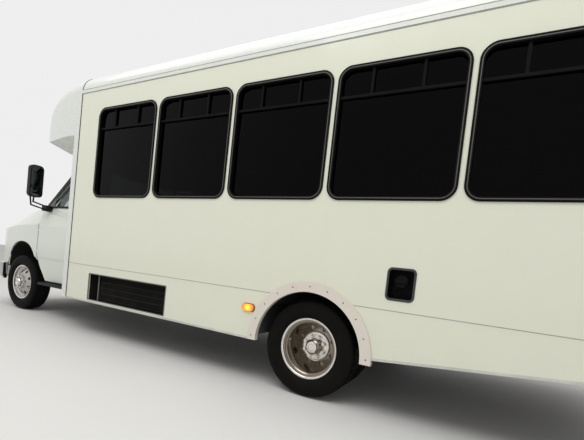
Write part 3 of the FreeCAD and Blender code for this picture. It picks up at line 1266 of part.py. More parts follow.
def build():
    side_wall_left()
    side_wall_right()
    skirts()
    wheel_flares()
    condenser()
    fuel_filler()
    windows()
    roof()
    rear_wall()
    rear_door()
    floor()
    chassis_frame()
    front_axle()
    rear_axle()
    running_gear()
    wheels()
    knuckle(1, "knuckle_left")
    knuckle(-1, "knuckle_right")
    front_cap()
    van_front()
    front_bumper()
    cab_shell()
    windshield()
    dashboard()
    cab_door(1, "left")
    cab_door(-1, "right")
    entry_door()
    steps()
    rear_bumper()
    lamps()
    seats()


def write_parts():
    doc.recompute()
    for thing in doc.Objects:
        if {"Invalid", "Error"} & set(thing.State):
            raise RuntimeError("%s failed: %s" % (thing.Label, thing.State))
    os.makedirs("parts", exist_ok=True)
    for thing in kept:
        if thing.Shape.isNull() or not thing.Shape.isValid():
            raise RuntimeError("%s has no valid shape" % thing.Label)
        thing.Shape.exportStep("parts/%s.step" % thing.Label)
        bounds = thing.Shape.BoundBox
        print("%-22s %2d solids  X %6.0f %6.0f  Y %6.0f %6.0f  Z %6.0f %6.0f" % (
            thing.Label, len(thing.Shape.Solids), bounds.XMin, bounds.XMax, bounds.YMin, bounds.YMax,
            bounds.ZMin, bounds.ZMax))


build()
write_parts()
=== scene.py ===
import bpy
import json
import math
from mathutils import Matrix, Vector
from mathutils.bvhtree import BVHTree


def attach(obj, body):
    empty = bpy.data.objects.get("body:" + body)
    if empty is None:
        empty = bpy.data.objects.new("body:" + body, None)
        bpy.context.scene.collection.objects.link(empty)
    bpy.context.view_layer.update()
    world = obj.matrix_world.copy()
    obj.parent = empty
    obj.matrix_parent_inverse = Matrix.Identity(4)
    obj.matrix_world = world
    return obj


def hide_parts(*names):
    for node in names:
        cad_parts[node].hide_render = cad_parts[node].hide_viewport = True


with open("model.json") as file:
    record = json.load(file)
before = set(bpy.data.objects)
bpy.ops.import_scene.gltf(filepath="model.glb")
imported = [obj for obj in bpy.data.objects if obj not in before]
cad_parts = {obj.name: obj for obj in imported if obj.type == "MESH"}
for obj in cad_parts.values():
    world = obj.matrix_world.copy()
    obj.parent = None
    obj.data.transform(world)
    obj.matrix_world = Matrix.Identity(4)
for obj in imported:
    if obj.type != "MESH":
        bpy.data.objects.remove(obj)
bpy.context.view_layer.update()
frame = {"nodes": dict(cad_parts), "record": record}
nodes = frame["nodes"]
scene = bpy.context.scene
print("frame loaded")


places = {"frontAxleX": 2.985, "rearAxleX": -1.485, "axleZ": 0.368, "sideY": 1.219,
          "frontY": 0.8815, "rearOuterY": 1.064, "rearInnerY": 0.805}
sides = (("left", 1), ("right", -1))


# Modelling helpers

def makeActive(*pieces):
    bpy.ops.object.select_all(action="DESELECT")
    for piece in pieces:
        piece.select_set(True)
    bpy.context.view_layer.objects.active = pieces[0]


def applyPlace(piece):
    makeActive(piece)
    bpy.ops.object.transform_apply(location=True, rotation=True, scale=True)
    return piece


def modify(piece, kind, **settings):
    modifier = piece.modifiers.new(kind, kind)
    for key, value in settings.items():
        setattr(modifier, key, value)
    makeActive(piece)
    bpy.ops.object.modifier_apply(modifier=modifier.name)
    return piece


def bevelEdges(piece, width, segments=2, angle=50):
    return modify(piece, "BEVEL", width=width, segments=segments, limit_method="ANGLE",
                  angle_limit=math.radians(angle))


def repeated(piece, count, step):  # a row of the same piece
    return modify(piece, "ARRAY", count=count, use_relative_offset=False, use_constant_offset=True,
                  constant_offset_displace=step)


def smooth(piece, angle=40):
    makeActive(piece)
    bpy.ops.object.shade_smooth_by_angle(angle=math.radians(angle))
    return piece


def newBox(name, low, high, bevel=0, segments=2):
    low, high = Vector(low), Vector(high)
    bpy.ops.mesh.primitive_cube_add(size=1, location=(low + high) / 2)
    piece = bpy.context.object
    piece.name, piece.scale = name, high - low
    applyPlace(piece)
    return bevelEdges(piece, bevel, segments) if bevel else piece


def newRod(name, start, end, radius, sides=16, endRadius=None):
    start, end = Vector(start), Vector(end)
    turn = (end - start).to_track_quat("Z", "Y").to_euler()
    bpy.ops.mesh.primitive_cone_add(vertices=sides, radius1=radius,
                                    radius2=radius if endRadius is None else endRadius,
                                    depth=(end - start).length, location=(start + end) / 2, rotation=turn)
    piece = bpy.context.object
    piece.name = name
    return applyPlace(piece)


def startEdit():
    bpy.ops.object.mode_set(mode="EDIT")


def editDone():
    bpy.ops.object.mode_set(mode="OBJECT")


def editAll(piece):
    makeActive(piece)
    startEdit()
    bpy.ops.mesh.select_all(action="SELECT")


def fixNormals():
    bpy.ops.mesh.select_all(action="SELECT")
    bpy.ops.mesh.normals_make_consistent(inside=False)
    editDone()


def extrude(move):
    bpy.ops.mesh.extrude_region_move(TRANSFORM_OT_translate={"value": move})


def pickBy(kind):
    bpy.context.tool_settings.mesh_select_mode = [kind == other for other in ("vertex", "edge", "face")]


def unpick(piece, kind):
    makeActive(piece)
    mesh = piece.data
    for part in (*mesh.vertices, *mesh.edges, *mesh.polygons):
        part.select = False
    pickBy(kind)
    return mesh


def pickFaces(piece, test):  # leaves the piece in edit mode with the faces that pass the test selected
    for face in unpick(piece, "face").polygons:
        face.select = test(face.center, face.normal)
    startEdit()


def pickSide(piece, axis, side=0):  # the flat faces across the axis, on one side or on both
    pickFaces(piece, lambda center, normal: (normal[axis] * side if side else abs(normal[axis])) > 0.9)


def raiseFace(piece, axis, side, *steps):  # insets the face on one side and moves it out, by each (inset, rise)
    pickSide(piece, axis, side)
    for width, rise in steps:
        bpy.ops.mesh.inset(thickness=width)
        extrude([rise * side if index == axis else 0 for index in range(3)])
    editDone()
    return piece


def sinkFaces(depth):  # the selected faces go in, along their normals
    bpy.ops.mesh.extrude_region_shrink_fatten(TRANSFORM_OT_shrink_fatten={"value": -depth})
    editDone()


def drawProfile(name, points):  # an open chain of edges through the points
    pickBy("vertex")
    bpy.ops.mesh.primitive_plane_add(size=0.001, location=points[0])
    piece = bpy.context.object
    piece.name = name
    startEdit()
    bpy.ops.mesh.merge(type="CENTER")
    for here, there in zip(points, points[1:]):
        extrude(Vector(there) - Vector(here))
    editDone()
    return applyPlace(piece)


def turned(name, outline, centre, out, steps=64, angle=35):  # (offset outwards, radius) pairs turned round an axle
    out, middle = Vector(out), Vector(centre)
    piece = drawProfile(name, [middle + out * reach + Vector((0, 0, radius)) for reach, radius in outline])
    pickBy("vertex")
    editAll(piece)
    bpy.ops.mesh.spin(steps=steps, angle=2 * math.pi, center=middle, axis=out)
    bpy.ops.mesh.select_all(action="SELECT")
    bpy.ops.mesh.remove_doubles(threshold=0.0004)
    fixNormals()
    return smooth(piece, angle)


def roundedBox(name, low, high, axis, radius, segments=5):  # a box whose edges along the axis are rounded
    piece = newBox(name, low, high)
    mesh = unpick(piece, "edge")
    for edge in mesh.edges:
        start, end = (mesh.vertices[index].co for index in edge.vertices)
        edge.select = abs(abs((end - start).normalized()[axis]) - 1) < 0.01
    startEdit()
    bpy.ops.mesh.bevel(offset=radius, segments=segments, affect="EDGES")
    editDone()
    return piece


def cutThrough(piece, axis, width):  # leaves a rim of this width of a plate that faces along the axis
    pickSide(piece, axis)
    bpy.ops.mesh.inset(thickness=width)
    bpy.ops.mesh.bridge_edge_loops()
    editDone()
    return piece


def newRing(name, low, high, axis, radius, width, segments=8, bevel=0):  # a flat frame with round corners
    piece = cutThrough(roundedBox(name, low, high, axis, radius, segments), axis, width)
    return bevelEdges(piece, bevel) if bevel else piece


def newPipe(name, points, radius, bend=0.0, rounds=2):  # a tube along the points, its corners bent round
    piece = drawProfile(name, points)
    if bend:
        ends = Vector(points[0]), Vector(points[-1])
        for vertex in unpick(piece, "vertex").vertices:
            vertex.select = min((vertex.co - end).length for end in ends) > 1e-4
        startEdit()
        bpy.ops.mesh.bevel(offset=bend, segments=4, affect="VERTICES")
        editDone()
    makeActive(piece)
    bpy.ops.object.convert(target="CURVE")
    piece.data.bevel_depth, piece.data.bevel_resolution, piece.data.use_fill_caps = radius, rounds, True
    makeActive(piece)
    bpy.ops.object.convert(target="MESH")
    return smooth(piece, 50)


def newPlate(name, outline, lift):  # a flat sheet with this outline, thickened by the lift
    piece = drawProfile(name, [*outline, outline[0]])
    editAll(piece)
    bpy.ops.mesh.remove_doubles(threshold=0.0001)
    bpy.ops.mesh.edge_face_add()
    extrude(lift)
    fixNormals()
    return piece


def newSheet(name, points, move, thickness, offset):  # a chain of points drawn out sideways into a thin wall
    piece = drawProfile(name, points)
    editAll(piece)
    extrude(move)
    fixNormals()
    return modify(piece, "SOLIDIFY", thickness=thickness, offset=offset)


def divided(piece, cuts):  # more points all over, for a piece that is bent or laid on a curve
    editAll(piece)
    bpy.ops.mesh.subdivide(number_cuts=cuts)
    editDone()
    return piece


def turnedTo(piece, place, turn=(0, 0, 0), normal=None):  # moves a piece built at the origin
    piece.location = place
    piece.rotation_euler = normal.to_track_quat("Z", "Y").to_euler() if normal else turn
    return applyPlace(piece)


surfaces = {}


def hitOn(node, origin, direction):  # where a line first meets a CAD node, and the surface's normal there
    if node not in surfaces:
        mesh = nodes[node].data
        surfaces[node] = BVHTree.FromPolygons([vertex.co.copy() for vertex in mesh.vertices],
                                              [tuple(face.vertices) for face in mesh.polygons])
    return surfaces[node].ray_cast(Vector(origin), Vector(direction))[:2]


def layOn(piece, cuts, node, level):  # points keep their height along X over the CAD surface
    for vertex in divided(piece, cuts).data.vertices:
        x, y, z = vertex.co
        place = hitOn(node, (9, y, z), (-1, 0, 0))[0]
        vertex.co.x = (place.x if place else level) + x
    return piece


def joined(name, pieces):
    makeActive(*pieces)
    if len(pieces) > 1:
        bpy.ops.object.join()
    pieces[0].name = name
    return pieces[0]


def copied(piece, name, move=(0, 0, 0)):
    twin = piece.copy()
    twin.data = piece.data.copy()
    twin.name, twin.location = name, move
    scene.collection.objects.link(twin)
    return applyPlace(twin)


def removed(*pieces):
    for piece in pieces:
        bpy.data.objects.remove(piece)


def mirroredAcross(piece, name):  # the same piece on the other side of the bus
    twin = copied(piece, name)
    twin.scale = (1, -1, 1)
    editAll(applyPlace(twin))
    fixNormals()
    return twin


def dress(piece, material, body="body", replaced=()):
    piece.data.materials.clear()
    piece.data.materials.append(materials[material])
    if replaced:
        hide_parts(*replaced)
    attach(piece, body)
    return piece


def dressSide(piece, side, material, body="body"):  # a piece built on the left, for this side of the bus
    label = piece.name.split(".")[0] + ("Left" if side > 0 else "Right")
    if side < 0:
        twin = mirroredAcross(piece, label)
        removed(piece)
        piece = twin
    piece.name = label
    return dress(piece, material, body)


def dressPair(left, material):  # a left piece and its twin on the right
    right = mirroredAcross(left, left.name.replace("Left", "Right"))
    for piece in (left, right):
        dress(piece, material)


# Shader groups

def setInputs(node, values):
    for key, source in values.items():
        if isinstance(source, bpy.types.NodeSocket):
            node.id_data.links.new(source, node.inputs[key])
        else:
            node.inputs[key].default_value = source


def addNode(tree, kind, values=None, **settings):
    node = tree.nodes.new(kind)
    for key, value in settings.items():
        setattr(node, key, value)
    setInputs(node, values or {})
    return node


def mathNode(tree, operation, *values, clamp=False):
    return addNode(tree, "ShaderNodeMath", dict(enumerate(values)), operation=operation, use_clamp=clamp).outputs[0]


def timesNode(tree, first, second):
    return mathNode(tree, "MULTIPLY", first, second)


def rangeNode(tree, value, low, high, toLow=0.0, toHigh=1.0):
    return addNode(tree, "ShaderNodeMapRange", {"Value": value, "From Min": low, "From Max": high, "To Min": toLow,
                                                "To Max": toHigh}).outputs[0]


def noiseNode(tree, place, scale, detail=2.0, rough=0.5):
    return addNode(tree, "ShaderNodeTexNoise", {"Vector": place, "Scale": scale, "Detail": detail,
                                                "Roughness": rough}).outputs[0]


def stretched(tree, place, sizes):
    return addNode(tree, "ShaderNodeMapping", {"Vector": place, "Scale": sizes}).outputs[0]


def mixColor(tree, factor, colorA, colorB):
    return addNode(tree, "ShaderNodeMix", {0: factor, 6: colorA, 7: colorB}, data_type="RGBA").outputs[2]


def objectPlace(tree):
    return addNode(tree, "ShaderNodeTexCoord").outputs["Object"]


def opaque(color, share=1):
    return tuple(part * share for part in color) + (1,)


def newGroup(name, inputs, outputs):
    group = bpy.data.node_groups.new(name, "ShaderNodeTree")
    for label, value in inputs.items():
        group.interface.new_socket(label, in_out="INPUT", socket_type="NodeSocketFloat").default_value = value
    for label in outputs:
        group.interface.new_socket(label, in_out="OUTPUT", socket_type="NodeSocketFloat")
    return (group, group.nodes.new("NodeGroupInput").outputs, group.nodes.new("NodeGroupOutput"),
            objectPlace(group))


def makeGrimeGroup():  # road film thrown up from below, thinning out with height, and rain streaks
    group, source, sink, place = newGroup("roadGrime", {"Amount": 0.5, "Reach": 1.2}, ["Mask"])
    height = addNode(group, "ShaderNodeSeparateXYZ", {"Vector": place}).outputs["Z"]
    low = rangeNode(group, height, source["Reach"], 0.25)
    cloud = rangeNode(group, noiseNode(group, place, 3.0, 6.0, 0.6), 0.38, 0.7)
    fine = rangeNode(group, noiseNode(group, place, 45.0, 3.0), 0.35, 0.75)
    streaks = rangeNode(group, noiseNode(group, stretched(group, place, (22, 22, 0.8)), 1.0, 4.0), 0.55, 0.85)
    film = timesNode(group, low, mathNode(group, "ADD", timesNode(group, cloud, 0.75), timesNode(group, fine, 0.35)))
    film = mathNode(group, "ADD", film, timesNode(group, streaks, 0.12))
    setInputs(sink, {"Mask": mathNode(group, "MULTIPLY", film, source["Amount"], clamp=True)})
    return group


def makeGrainGroup():  # moulded grain, orange peel or cast skin, by scale
    group, source, sink, place = newGroup("surfaceGrain", {"Scale": 300.0, "Cells": 0.0}, ["Height", "Tone"])
    grain = noiseNode(group, place, source["Scale"], 3.0)
    cell = addNode(group, "ShaderNodeTexVoronoi", {"Vector": place, "Scale": source["Scale"]}).outputs[0]
    setInputs(sink, {"Height": mathNode(group, "ADD", timesNode(group, cell, source["Cells"]), grain),
                     "Tone": noiseNode(group, place, 5.0, 5.0, 0.6)})
    return group


def makeSpunGroup():  # rings left by turning or polishing round an axle along Y
    group, source, sink, place = newGroup("spunRings", {"Axle X": 0.0, "Axle Z": places["axleZ"]},
                                          ["Rings", "Dust"])
    parts = addNode(group, "ShaderNodeSeparateXYZ", {"Vector": place}).outputs
    acrossX = mathNode(group, "SUBTRACT", parts["X"], source["Axle X"])
    acrossZ = mathNode(group, "SUBTRACT", parts["Z"], source["Axle Z"])
    squares = mathNode(group, "ADD", timesNode(group, acrossX, acrossX), timesNode(group, acrossZ, acrossZ))
    spot = addNode(group, "ShaderNodeCombineXYZ", {"X": timesNode(group, mathNode(group, "SQRT", squares), 420.0),
                                                   "Y": timesNode(group, parts["Y"], 60.0)}).outputs[0]
    dust = timesNode(group, noiseNode(group, place, 14.0, 6.0, 0.65), noiseNode(group, place, 60.0, 3.0))
    setInputs(sink, {"Rings": noiseNode(group, spot, 1.0, 3.0), "Dust": rangeNode(group, dust, 0.2, 0.42)})
    return group


def makeWeaveGroup():  # over and under of a woven cloth
    group, source, sink, place = newGroup("clothWeave", {"Threads": 420.0}, ["Height", "Tone"])
    parts = addNode(group, "ShaderNodeSeparateXYZ", {"Vector": place}).outputs
    along = timesNode(group, mathNode(group, "ADD", parts["X"], parts["Z"]), source["Threads"])
    over = timesNode(group, parts["Y"], source["Threads"])
    setInputs(sink, {"Height": timesNode(group, mathNode(group, "SINE", along), mathNode(group, "SINE", over)),
                     "Tone": noiseNode(group, place, 30.0, 5.0, 0.7)})
    return group


grimeGroup, grainGroup = makeGrimeGroup(), makeGrainGroup()
spunGroup, weaveGroup = makeSpunGroup(), makeWeaveGroup()


# Materials

materials = {}


def newMaterial(name):
    material = materials[name] = bpy.data.materials.new(name)
    material.use_nodes = True
    return material.node_tree, material.node_tree.nodes["Principled BSDF"]


def placeGroup(tree, group, values):
    return addNode(tree, "ShaderNodeGroup", values, node_tree=group).outputs


def bump(tree, height, strength, distance):
    return addNode(tree, "ShaderNodeBump", {"Height": height, "Strength": strength, "Distance": distance}).outputs[0]


coating = {"reach": 1.1, "cells": 0.0, "shade": 0.94, "dirt": (0.23, 0.2, 0.17), "metal": 0.0, "coat": 0.0,
           "gloss": 0.5}


def coated(name, color, base={}, **changes):
    look = {**coating, **base, **changes}
    tree, shader = newMaterial(name)
    grime = placeGroup(tree, grimeGroup, {"Amount": look["grime"], "Reach": look["reach"]})["Mask"]
    grain = placeGroup(tree, grainGroup, {"Scale": look["grain"], "Cells": look["cells"]})
    tone = rangeNode(tree, grain["Tone"], 0.3, 0.7)
    clean = mixColor(tree, tone, opaque(color, look["shade"]), opaque(color))
    rough = rangeNode(tree, tone, 0.0, 1.0, look["rough"] * 0.85, look["rough"] * 1.15)
    setInputs(shader, {
        "Base Color": mixColor(tree, grime, clean, opaque(look["dirt"])),
        "Roughness": mathNode(tree, "ADD", rough, timesNode(tree, grime, 0.4), clamp=True),
        "Metallic": look["metal"], "Coat Weight": look["coat"], "Coat Roughness": 0.08,
        "Specular IOR Level": look["gloss"], "Normal": bump(tree, grain["Height"], look["bump"], 0.001)})


def spunMetal(name, color, axleX, rough):
    tree, shader = newMaterial(name)
    spun = placeGroup(tree, spunGroup, {"Axle X": axleX})
    bright = mixColor(tree, rangeNode(tree, spun["Rings"], 0.25, 0.75), opaque(color, 0.86), opaque(color))
    dust = timesNode(tree, spun["Dust"], 0.18)
    setInputs(shader, {"Base Color": mixColor(tree, dust, bright, (0.12, 0.095, 0.07, 1)),
                       "Roughness": rangeNode(tree, dust, 0.0, 0.45, rough, rough + 0.3),
                       "Metallic": rangeNode(tree, dust, 0.0, 0.45, 1.0, 0.6),
                       "Normal": bump(tree, spun["Rings"], 0.12, 0.0006)})


def pane(name, tint, rough, gloss, ior):
    tree, shader = newMaterial(name)
    film = placeGroup(tree, grimeGroup, {"Amount": 0.35, "Reach": 2.6})["Mask"]
    setInputs(shader, {"Base Color": mixColor(tree, film, opaque(tint), opaque(tint, 0.8)),
                       "Roughness": rangeNode(tree, film, 0.0, 1.0, rough, rough + 0.1),
                       "Transmission Weight": 1.0, "IOR": ior, "Specular IOR Level": gloss})


def lens(name, color, bulb=None):  # bulb: the lit spot behind the lens
    tree, shader = newMaterial(name)
    grain = placeGroup(tree, grainGroup, {"Scale": 90.0, "Cells": 0.6})
    tone = rangeNode(tree, grain["Tone"], 0.3, 0.7)
    setInputs(shader, {"Base Color": mixColor(tree, tone, opaque(color, 0.8), opaque(color)), "Roughness": 0.12,
                       "Coat Weight": 0.6, "Normal": bump(tree, grain["Height"], 0.3, 0.002)})
    if bulb:
        away = addNode(tree, "ShaderNodeVectorMath", {0: stretched(tree, objectPlace(tree), (1, 0, 1)),
                                                      1: bulb["place"]}, operation="DISTANCE").outputs["Value"]
        spot = rangeNode(tree, away, 0.0, bulb["reach"], 1.0, 0.0)
        setInputs(shader, {"Emission Color": mixColor(tree, spot, opaque(color), opaque(bulb["hot"])),
                           "Emission Strength": timesNode(tree, spot, bulb["glow"])})


def cloth(name, color, threads, sheen):
    tree, shader = newMaterial(name)
    weave = placeGroup(tree, weaveGroup, {"Threads": threads})
    tone = rangeNode(tree, weave["Tone"], 0.35, 0.65)
    setInputs(shader, {"Base Color": mixColor(tree, tone, opaque(color, 0.7), opaque(color)), "Roughness": 0.88,
                       "Sheen Weight": sheen, "Normal": bump(tree, weave["Height"], 0.35, 0.0008)})


white = dict(grime=0.16, grain=60, rough=0.22, bump=0.006, coat=0.6, shade=0.985, reach=0.75, dirt=(0.36, 0.33, 0.27))
black = dict(grime=0.2, grain=700, rough=0.42, bump=0.12, shade=0.7, reach=2.6, gloss=0.2, dirt=(0.09, 0.085, 0.08))
soot = (0.08, 0.065, 0.055)
coated("bodyPaint", (0.765, 0.778, 0.64), white)
coated("capMoulding", (0.735, 0.757, 0.712), white, grime=0.07, grain=140, rough=0.28, bump=0.003)
coated("doorPaint", (0.705, 0.745, 0.662), white, rough=0.2, coat=0.8)
coated("flareMoulding", (0.74, 0.68, 0.6), white, grain=120, rough=0.3, bump=0.01)
coated("blackPlastic", (0.012, 0.012, 0.013), black, grain=900, cells=0.8, rough=0.5, bump=0.25, reach=1.1)
coated("gasketRubber", (0.007, 0.007, 0.0075), black)
# darker than the plain black trim: the frames, filler recess and filler cap are really black, and the extra darkness is
# painted shade
coated("shadeBlack", (0.003, 0.003, 0.003), black, rough=0.55, gloss=0.06)
coated("stepRubber", (0.011, 0.011, 0.011), black, grime=0.5, grain=350, cells=0.6, rough=0.6, bump=0.3, reach=1.6)
coated("coilBlack", (0.01, 0.01, 0.009), black, grime=0.35, rough=0.5, reach=1.0)
coated("tyreRubber", (0.007, 0.0068, 0.0065), black, grime=0.18, grain=500, rough=0.55, bump=0.2, shade=0.6,
       reach=0.9, gloss=0.05, dirt=(0.022, 0.019, 0.016))
coated("chassisPaint", (0.012, 0.012, 0.0125), black, grime=0.6, grain=160, rough=0.5, bump=0.3, shade=0.6,
       reach=1.6, dirt=(0.05, 0.042, 0.035))
coated("castIron", (0.045, 0.043, 0.041), grime=0.8, grain=260, cells=0.5, rough=0.6, bump=0.6, shade=0.6,
       metal=0.4, reach=1.6, dirt=soot)
coated("vinylFloor", (0.085, 0.088, 0.095), grime=0.25, grain=420, cells=0.7, rough=0.55, bump=0.3, shade=0.75,
       reach=1.6, dirt=(0.06, 0.055, 0.05))
coated("dashPlastic", (0.075, 0.075, 0.08), grime=0.1, grain=1100, cells=0.8, rough=0.55, bump=0.25, shade=0.85,
       gloss=0.3)
coated("treadAluminium", (0.42, 0.43, 0.44), grime=0.7, grain=200, rough=0.42, bump=0.2, metal=0.9, reach=1.4)
coated("sootySteel", (0.16, 0.135, 0.12), grime=0.8, grain=120, rough=0.55, bump=0.4, metal=0.7, shade=0.6,
       reach=1.4, dirt=soot)
spunMetal("frontWheelSteel", (0.52, 0.5, 0.46), places["frontAxleX"], 0.2)
spunMetal("rearWheelSteel", (0.27, 0.235, 0.195), places["rearAxleX"], 0.16)
spunMetal("frontChrome", (0.8, 0.79, 0.77), places["frontAxleX"], 0.1)
spunMetal("rearChrome", (0.78, 0.75, 0.69), places["rearAxleX"], 0.1)
coated("bumperChrome", (0.62, 0.64, 0.66), grime=0.35, grain=90, rough=0.16, bump=0.02, metal=1.0, reach=0.8)
coated("seamRubber", (0.055, 0.048, 0.042), black, grain=400, rough=0.5)
coated("sealant", (0.4, 0.4, 0.35), grime=0.5, grain=300, rough=0.5, bump=0.15, shade=0.85)
coated("ventTrim", (0.13, 0.13, 0.12), black, grain=300, rough=0.35, gloss=0.5)
coated("beadRubber", (0.088, 0.082, 0.072), black, grain=500, rough=0.35, gloss=0.4)
coated("rimPlastic", (0.045, 0.045, 0.046), black, grain=800, cells=0.5, rough=0.35, gloss=0.4)
coated("brightTrim", (0.7, 0.71, 0.67), grime=0.3, grain=150, rough=0.28, bump=0.08, metal=0.8, shade=0.85)
coated("rustyBolt", (0.26, 0.21, 0.16), grime=0.4, grain=260, rough=0.6, bump=0.3, metal=0.2, shade=0.6)
coated("nosingYellow", (0.62, 0.38, 0.03), grime=0.4, grain=350, cells=0.6, rough=0.55, bump=0.25, shade=0.8,
       reach=1.4)
coated("plateWhite", (0.62, 0.64, 0.66), grime=0.3, grain=200, rough=0.35, bump=0.05, shade=0.95)
# the mirror's dark grey-green colour is a painted reflection of dark surroundings, not the glass's own colour
coated("mirrorDarkReflection", (0.115, 0.13, 0.118), grime=0.15, grain=60, rough=0.03, bump=0.001, shade=0.96, metal=1.0)
spunMetal("lampReflector", (0.72, 0.73, 0.74), places["frontAxleX"], 0.08)
pane("tintedGlass", (0.006, 0.0062, 0.0065), 0.01, 0.04, 1.15)
pane("clearGlass", (0.62, 0.7, 0.67), 0.008, 0.4, 1.45)
lens("amberLens", (0.9, 0.32, 0.03))
lens("amberLit", (1.0, 0.25, 0.01), {"place": (-0.957, 0, 0.608), "reach": 0.055, "hot": (1.0, 0.42, 0.05),
                                     "glow": 2.6})
lens("redLens", (0.38, 0.012, 0.01))
lens("clearLens", (0.55, 0.58, 0.59))
cloth("seatCloth", (0.055, 0.07, 0.105), 2400, 0.3)

slotMaterials = {
    "body_white": "bodyPaint", "cap_white": "capMoulding", "trim_black": "blackPlastic", "lamp_clear": "clearLens",
    "lamp_red": "redLens", "lamp_amber": "amberLens", "rubber": "gasketRubber", "tyre": "tyreRubber",
    "glass": "tintedGlass", "clear_glass": "clearGlass", "wheel_steel": "rearWheelSteel",
    "chassis_black": "chassisPaint", "cast": "castIron", "floor_grey": "vinylFloor", "seat_fabric": "seatCloth",
    "grey_plastic": "dashPlastic", "step_metal": "treadAluminium", "exhaust_steel": "sootySteel",
}
nodeMaterials = {
    "frontWheelSteel": ["rim_front_left", "rim_front_right"],
    "doorPaint": ["hood", "fenders", "door_left", "door_right"], "dashPlastic": ["cab_shell"],
    "bumperChrome": ["front_bumper"], "flareMoulding": ["wheel_flares"], "stepRubber": ["steps"],
    "coilBlack": ["condenser"], "capMoulding": ["rear_door"], "clearGlass": ["door_glass_left", "door_glass_right"],
    "amberLit": ["marker_lamps"], "shadeBlack": ["fuel_filler", "window_frames"],
}
chosen = {node: name for name, group in nodeMaterials.items() for node in group}
for entry in frame["record"]["subparts"]:
    mesh = nodes[entry["node"]].data
    mesh.materials.clear()
    mesh.materials.append(materials[chosen.get(entry["node"], slotMaterials[entry["material_slot"]])])
print("materials ready")


# Studio

def makeStudio():
    look = {"floorColor": (0.74, 0.73, 0.71), "floorSize": 90, "fill": 0.54, "background": 0.86}
    lamps = {"overhead": {"place": (0.5, 1.5, 8), "size": (12, 8), "power": 330},
             "side": {"place": (-1.5, 6.5, 9), "size": (9, 4), "power": 320}}
    bpy.ops.mesh.primitive_plane_add(size=look["floorSize"], location=(0, 0, -0.001))
    floor = bpy.context.object
    floor.name = "studioFloor"
    applyPlace(floor)
    tree, shader = newMaterial("studioFloor")
    cloud = noiseNode(tree, objectPlace(tree), 0.8, 4.0)
    setInputs(shader, {"Base Color": mixColor(tree, cloud, opaque(look["floorColor"], 0.97),
                                              opaque(look["floorColor"])), "Roughness": 0.7})
    floor.data.materials.append(materials["studioFloor"])

    world = scene.world = bpy.data.worlds.new("studio")
    world.use_nodes = True
    tree = world.node_tree
    seen = addNode(tree, "ShaderNodeLightPath").outputs
    seen = mathNode(tree, "MAXIMUM", seen["Is Camera Ray"],
                    mathNode(tree, "MAXIMUM", seen["Is Glossy Ray"], seen["Is Transmission Ray"]))
    setInputs(tree.nodes["Background"], {"Color": (1, 1, 1, 1), "Strength": rangeNode(
        tree, seen, 0.0, 1.0, look["fill"], look["background"])})

    for name, spec in lamps.items():
        lamp = bpy.data.lights.new(name, "AREA")
        lamp.shape, lamp.energy, (lamp.size, lamp.size_y) = "RECTANGLE", spec["power"], spec["size"]
        holder = bpy.data.objects.new(name, lamp)
        scene.collection.objects.link(holder)
        holder.location = spec["place"]
        holder.rotation_euler = (Vector((0, 0, 1)) - holder.location).to_track_quat("-Z", "Y").to_euler()
    scene.view_settings.view_transform = "Standard"


def makeCamera():
    view = {"place": (-2.6279, 3.6644, 0.9618), "yaw": 0.48956, "pitch": -0.0409, "roll": 0.10965,
            "focalPixels": 367.02, "centreDown": 62.9, "width": 584}
    yaw, pitch, roll = view["yaw"], view["pitch"], view["roll"]
    ahead = Vector((math.sin(yaw) * math.cos(pitch), -math.cos(yaw) * math.cos(pitch), math.sin(pitch)))
    level = ahead.cross(Vector((0, 0, 1))).normalized()
    upright = level.cross(ahead)
    right = math.cos(roll) * level + math.sin(roll) * upright
    top = math.cos(roll) * upright - math.sin(roll) * level
    camera = scene.camera = bpy.data.objects.new("camera", bpy.data.cameras.new("camera"))
    scene.collection.objects.link(camera)
    camera.matrix_world = Matrix.Translation(view["place"]) @ Matrix((right, top, -ahead)).transposed().to_4x4()
    camera.data.lens = 36 * view["focalPixels"] / view["width"]
    camera.data.shift_y = view["centreDown"] / view["width"]
    camera.data.clip_end = 200


makeStudio()
makeCamera()
print("studio ready")


# Wheels and tyres

def makeTyre():
    tyre = {"steps": 144, "grooveFoot": 0.3595, "shoulderCut": 0.0055, "sipe": 0.0022, "sipeCut": 0.004,
            "half": [(0.0742, 0.2042), (0.0744, 0.229), (0.085, 0.2322), (0.0872, 0.235), (0.0965, 0.243),
                     (0.105, 0.258), (0.1095, 0.274), (0.1112, 0.289), (0.1113, 0.299), (0.1098, 0.3),
                     (0.11, 0.303), (0.1085, 0.32), (0.105, 0.337), (0.101, 0.348), (0.0955, 0.3565),
                     (0.0905, 0.3605), (0.072, 0.3662), (0.0645, 0.3665)],
            "ribs": [(0.063, 0.059), (0.0385, 0.0345), (0.0115, 0.0075)]}
    right, foot = list(tyre["half"]), tyre["grooveFoot"]
    for outer, inner in tyre["ribs"]:  # each pair is a groove across the tread
        right += [(outer, 0.3672), (outer - 0.0008, foot), (inner + 0.0008, foot), (inner, 0.3674)]
    outline = right + [(-y, r) for y, r in reversed(right)]
    piece = turned("tyre", outline + outline[:1], (0, 0, 0), (0, 1, 0), tyre["steps"], 28)

    def pickSlots(test):  # by step round the tyre, radius and distance across
        pickFaces(piece, lambda center, normal: test(
            int(math.degrees(math.atan2(center.z, center.x)) % 360 / (360 / tyre["steps"])),
            math.hypot(center.x, center.z), center.y))

    # every third step of the shoulder ribs is cut across, and the ribs between the grooves have finer sipes
    pickSlots(lambda step, r, y: step % 3 == (0 if y > 0 else 1) and r > 0.361 and 0.0635 < abs(y) < 0.0905)
    sinkFaces(tyre["shoulderCut"])
    pickSlots(lambda step, r, y: step % 4 == 2 and r > 0.3668 and abs(y) < 0.058)
    bpy.ops.mesh.inset(thickness=tyre["sipe"])
    sinkFaces(tyre["sipeCut"])
    return smooth(piece, 28)


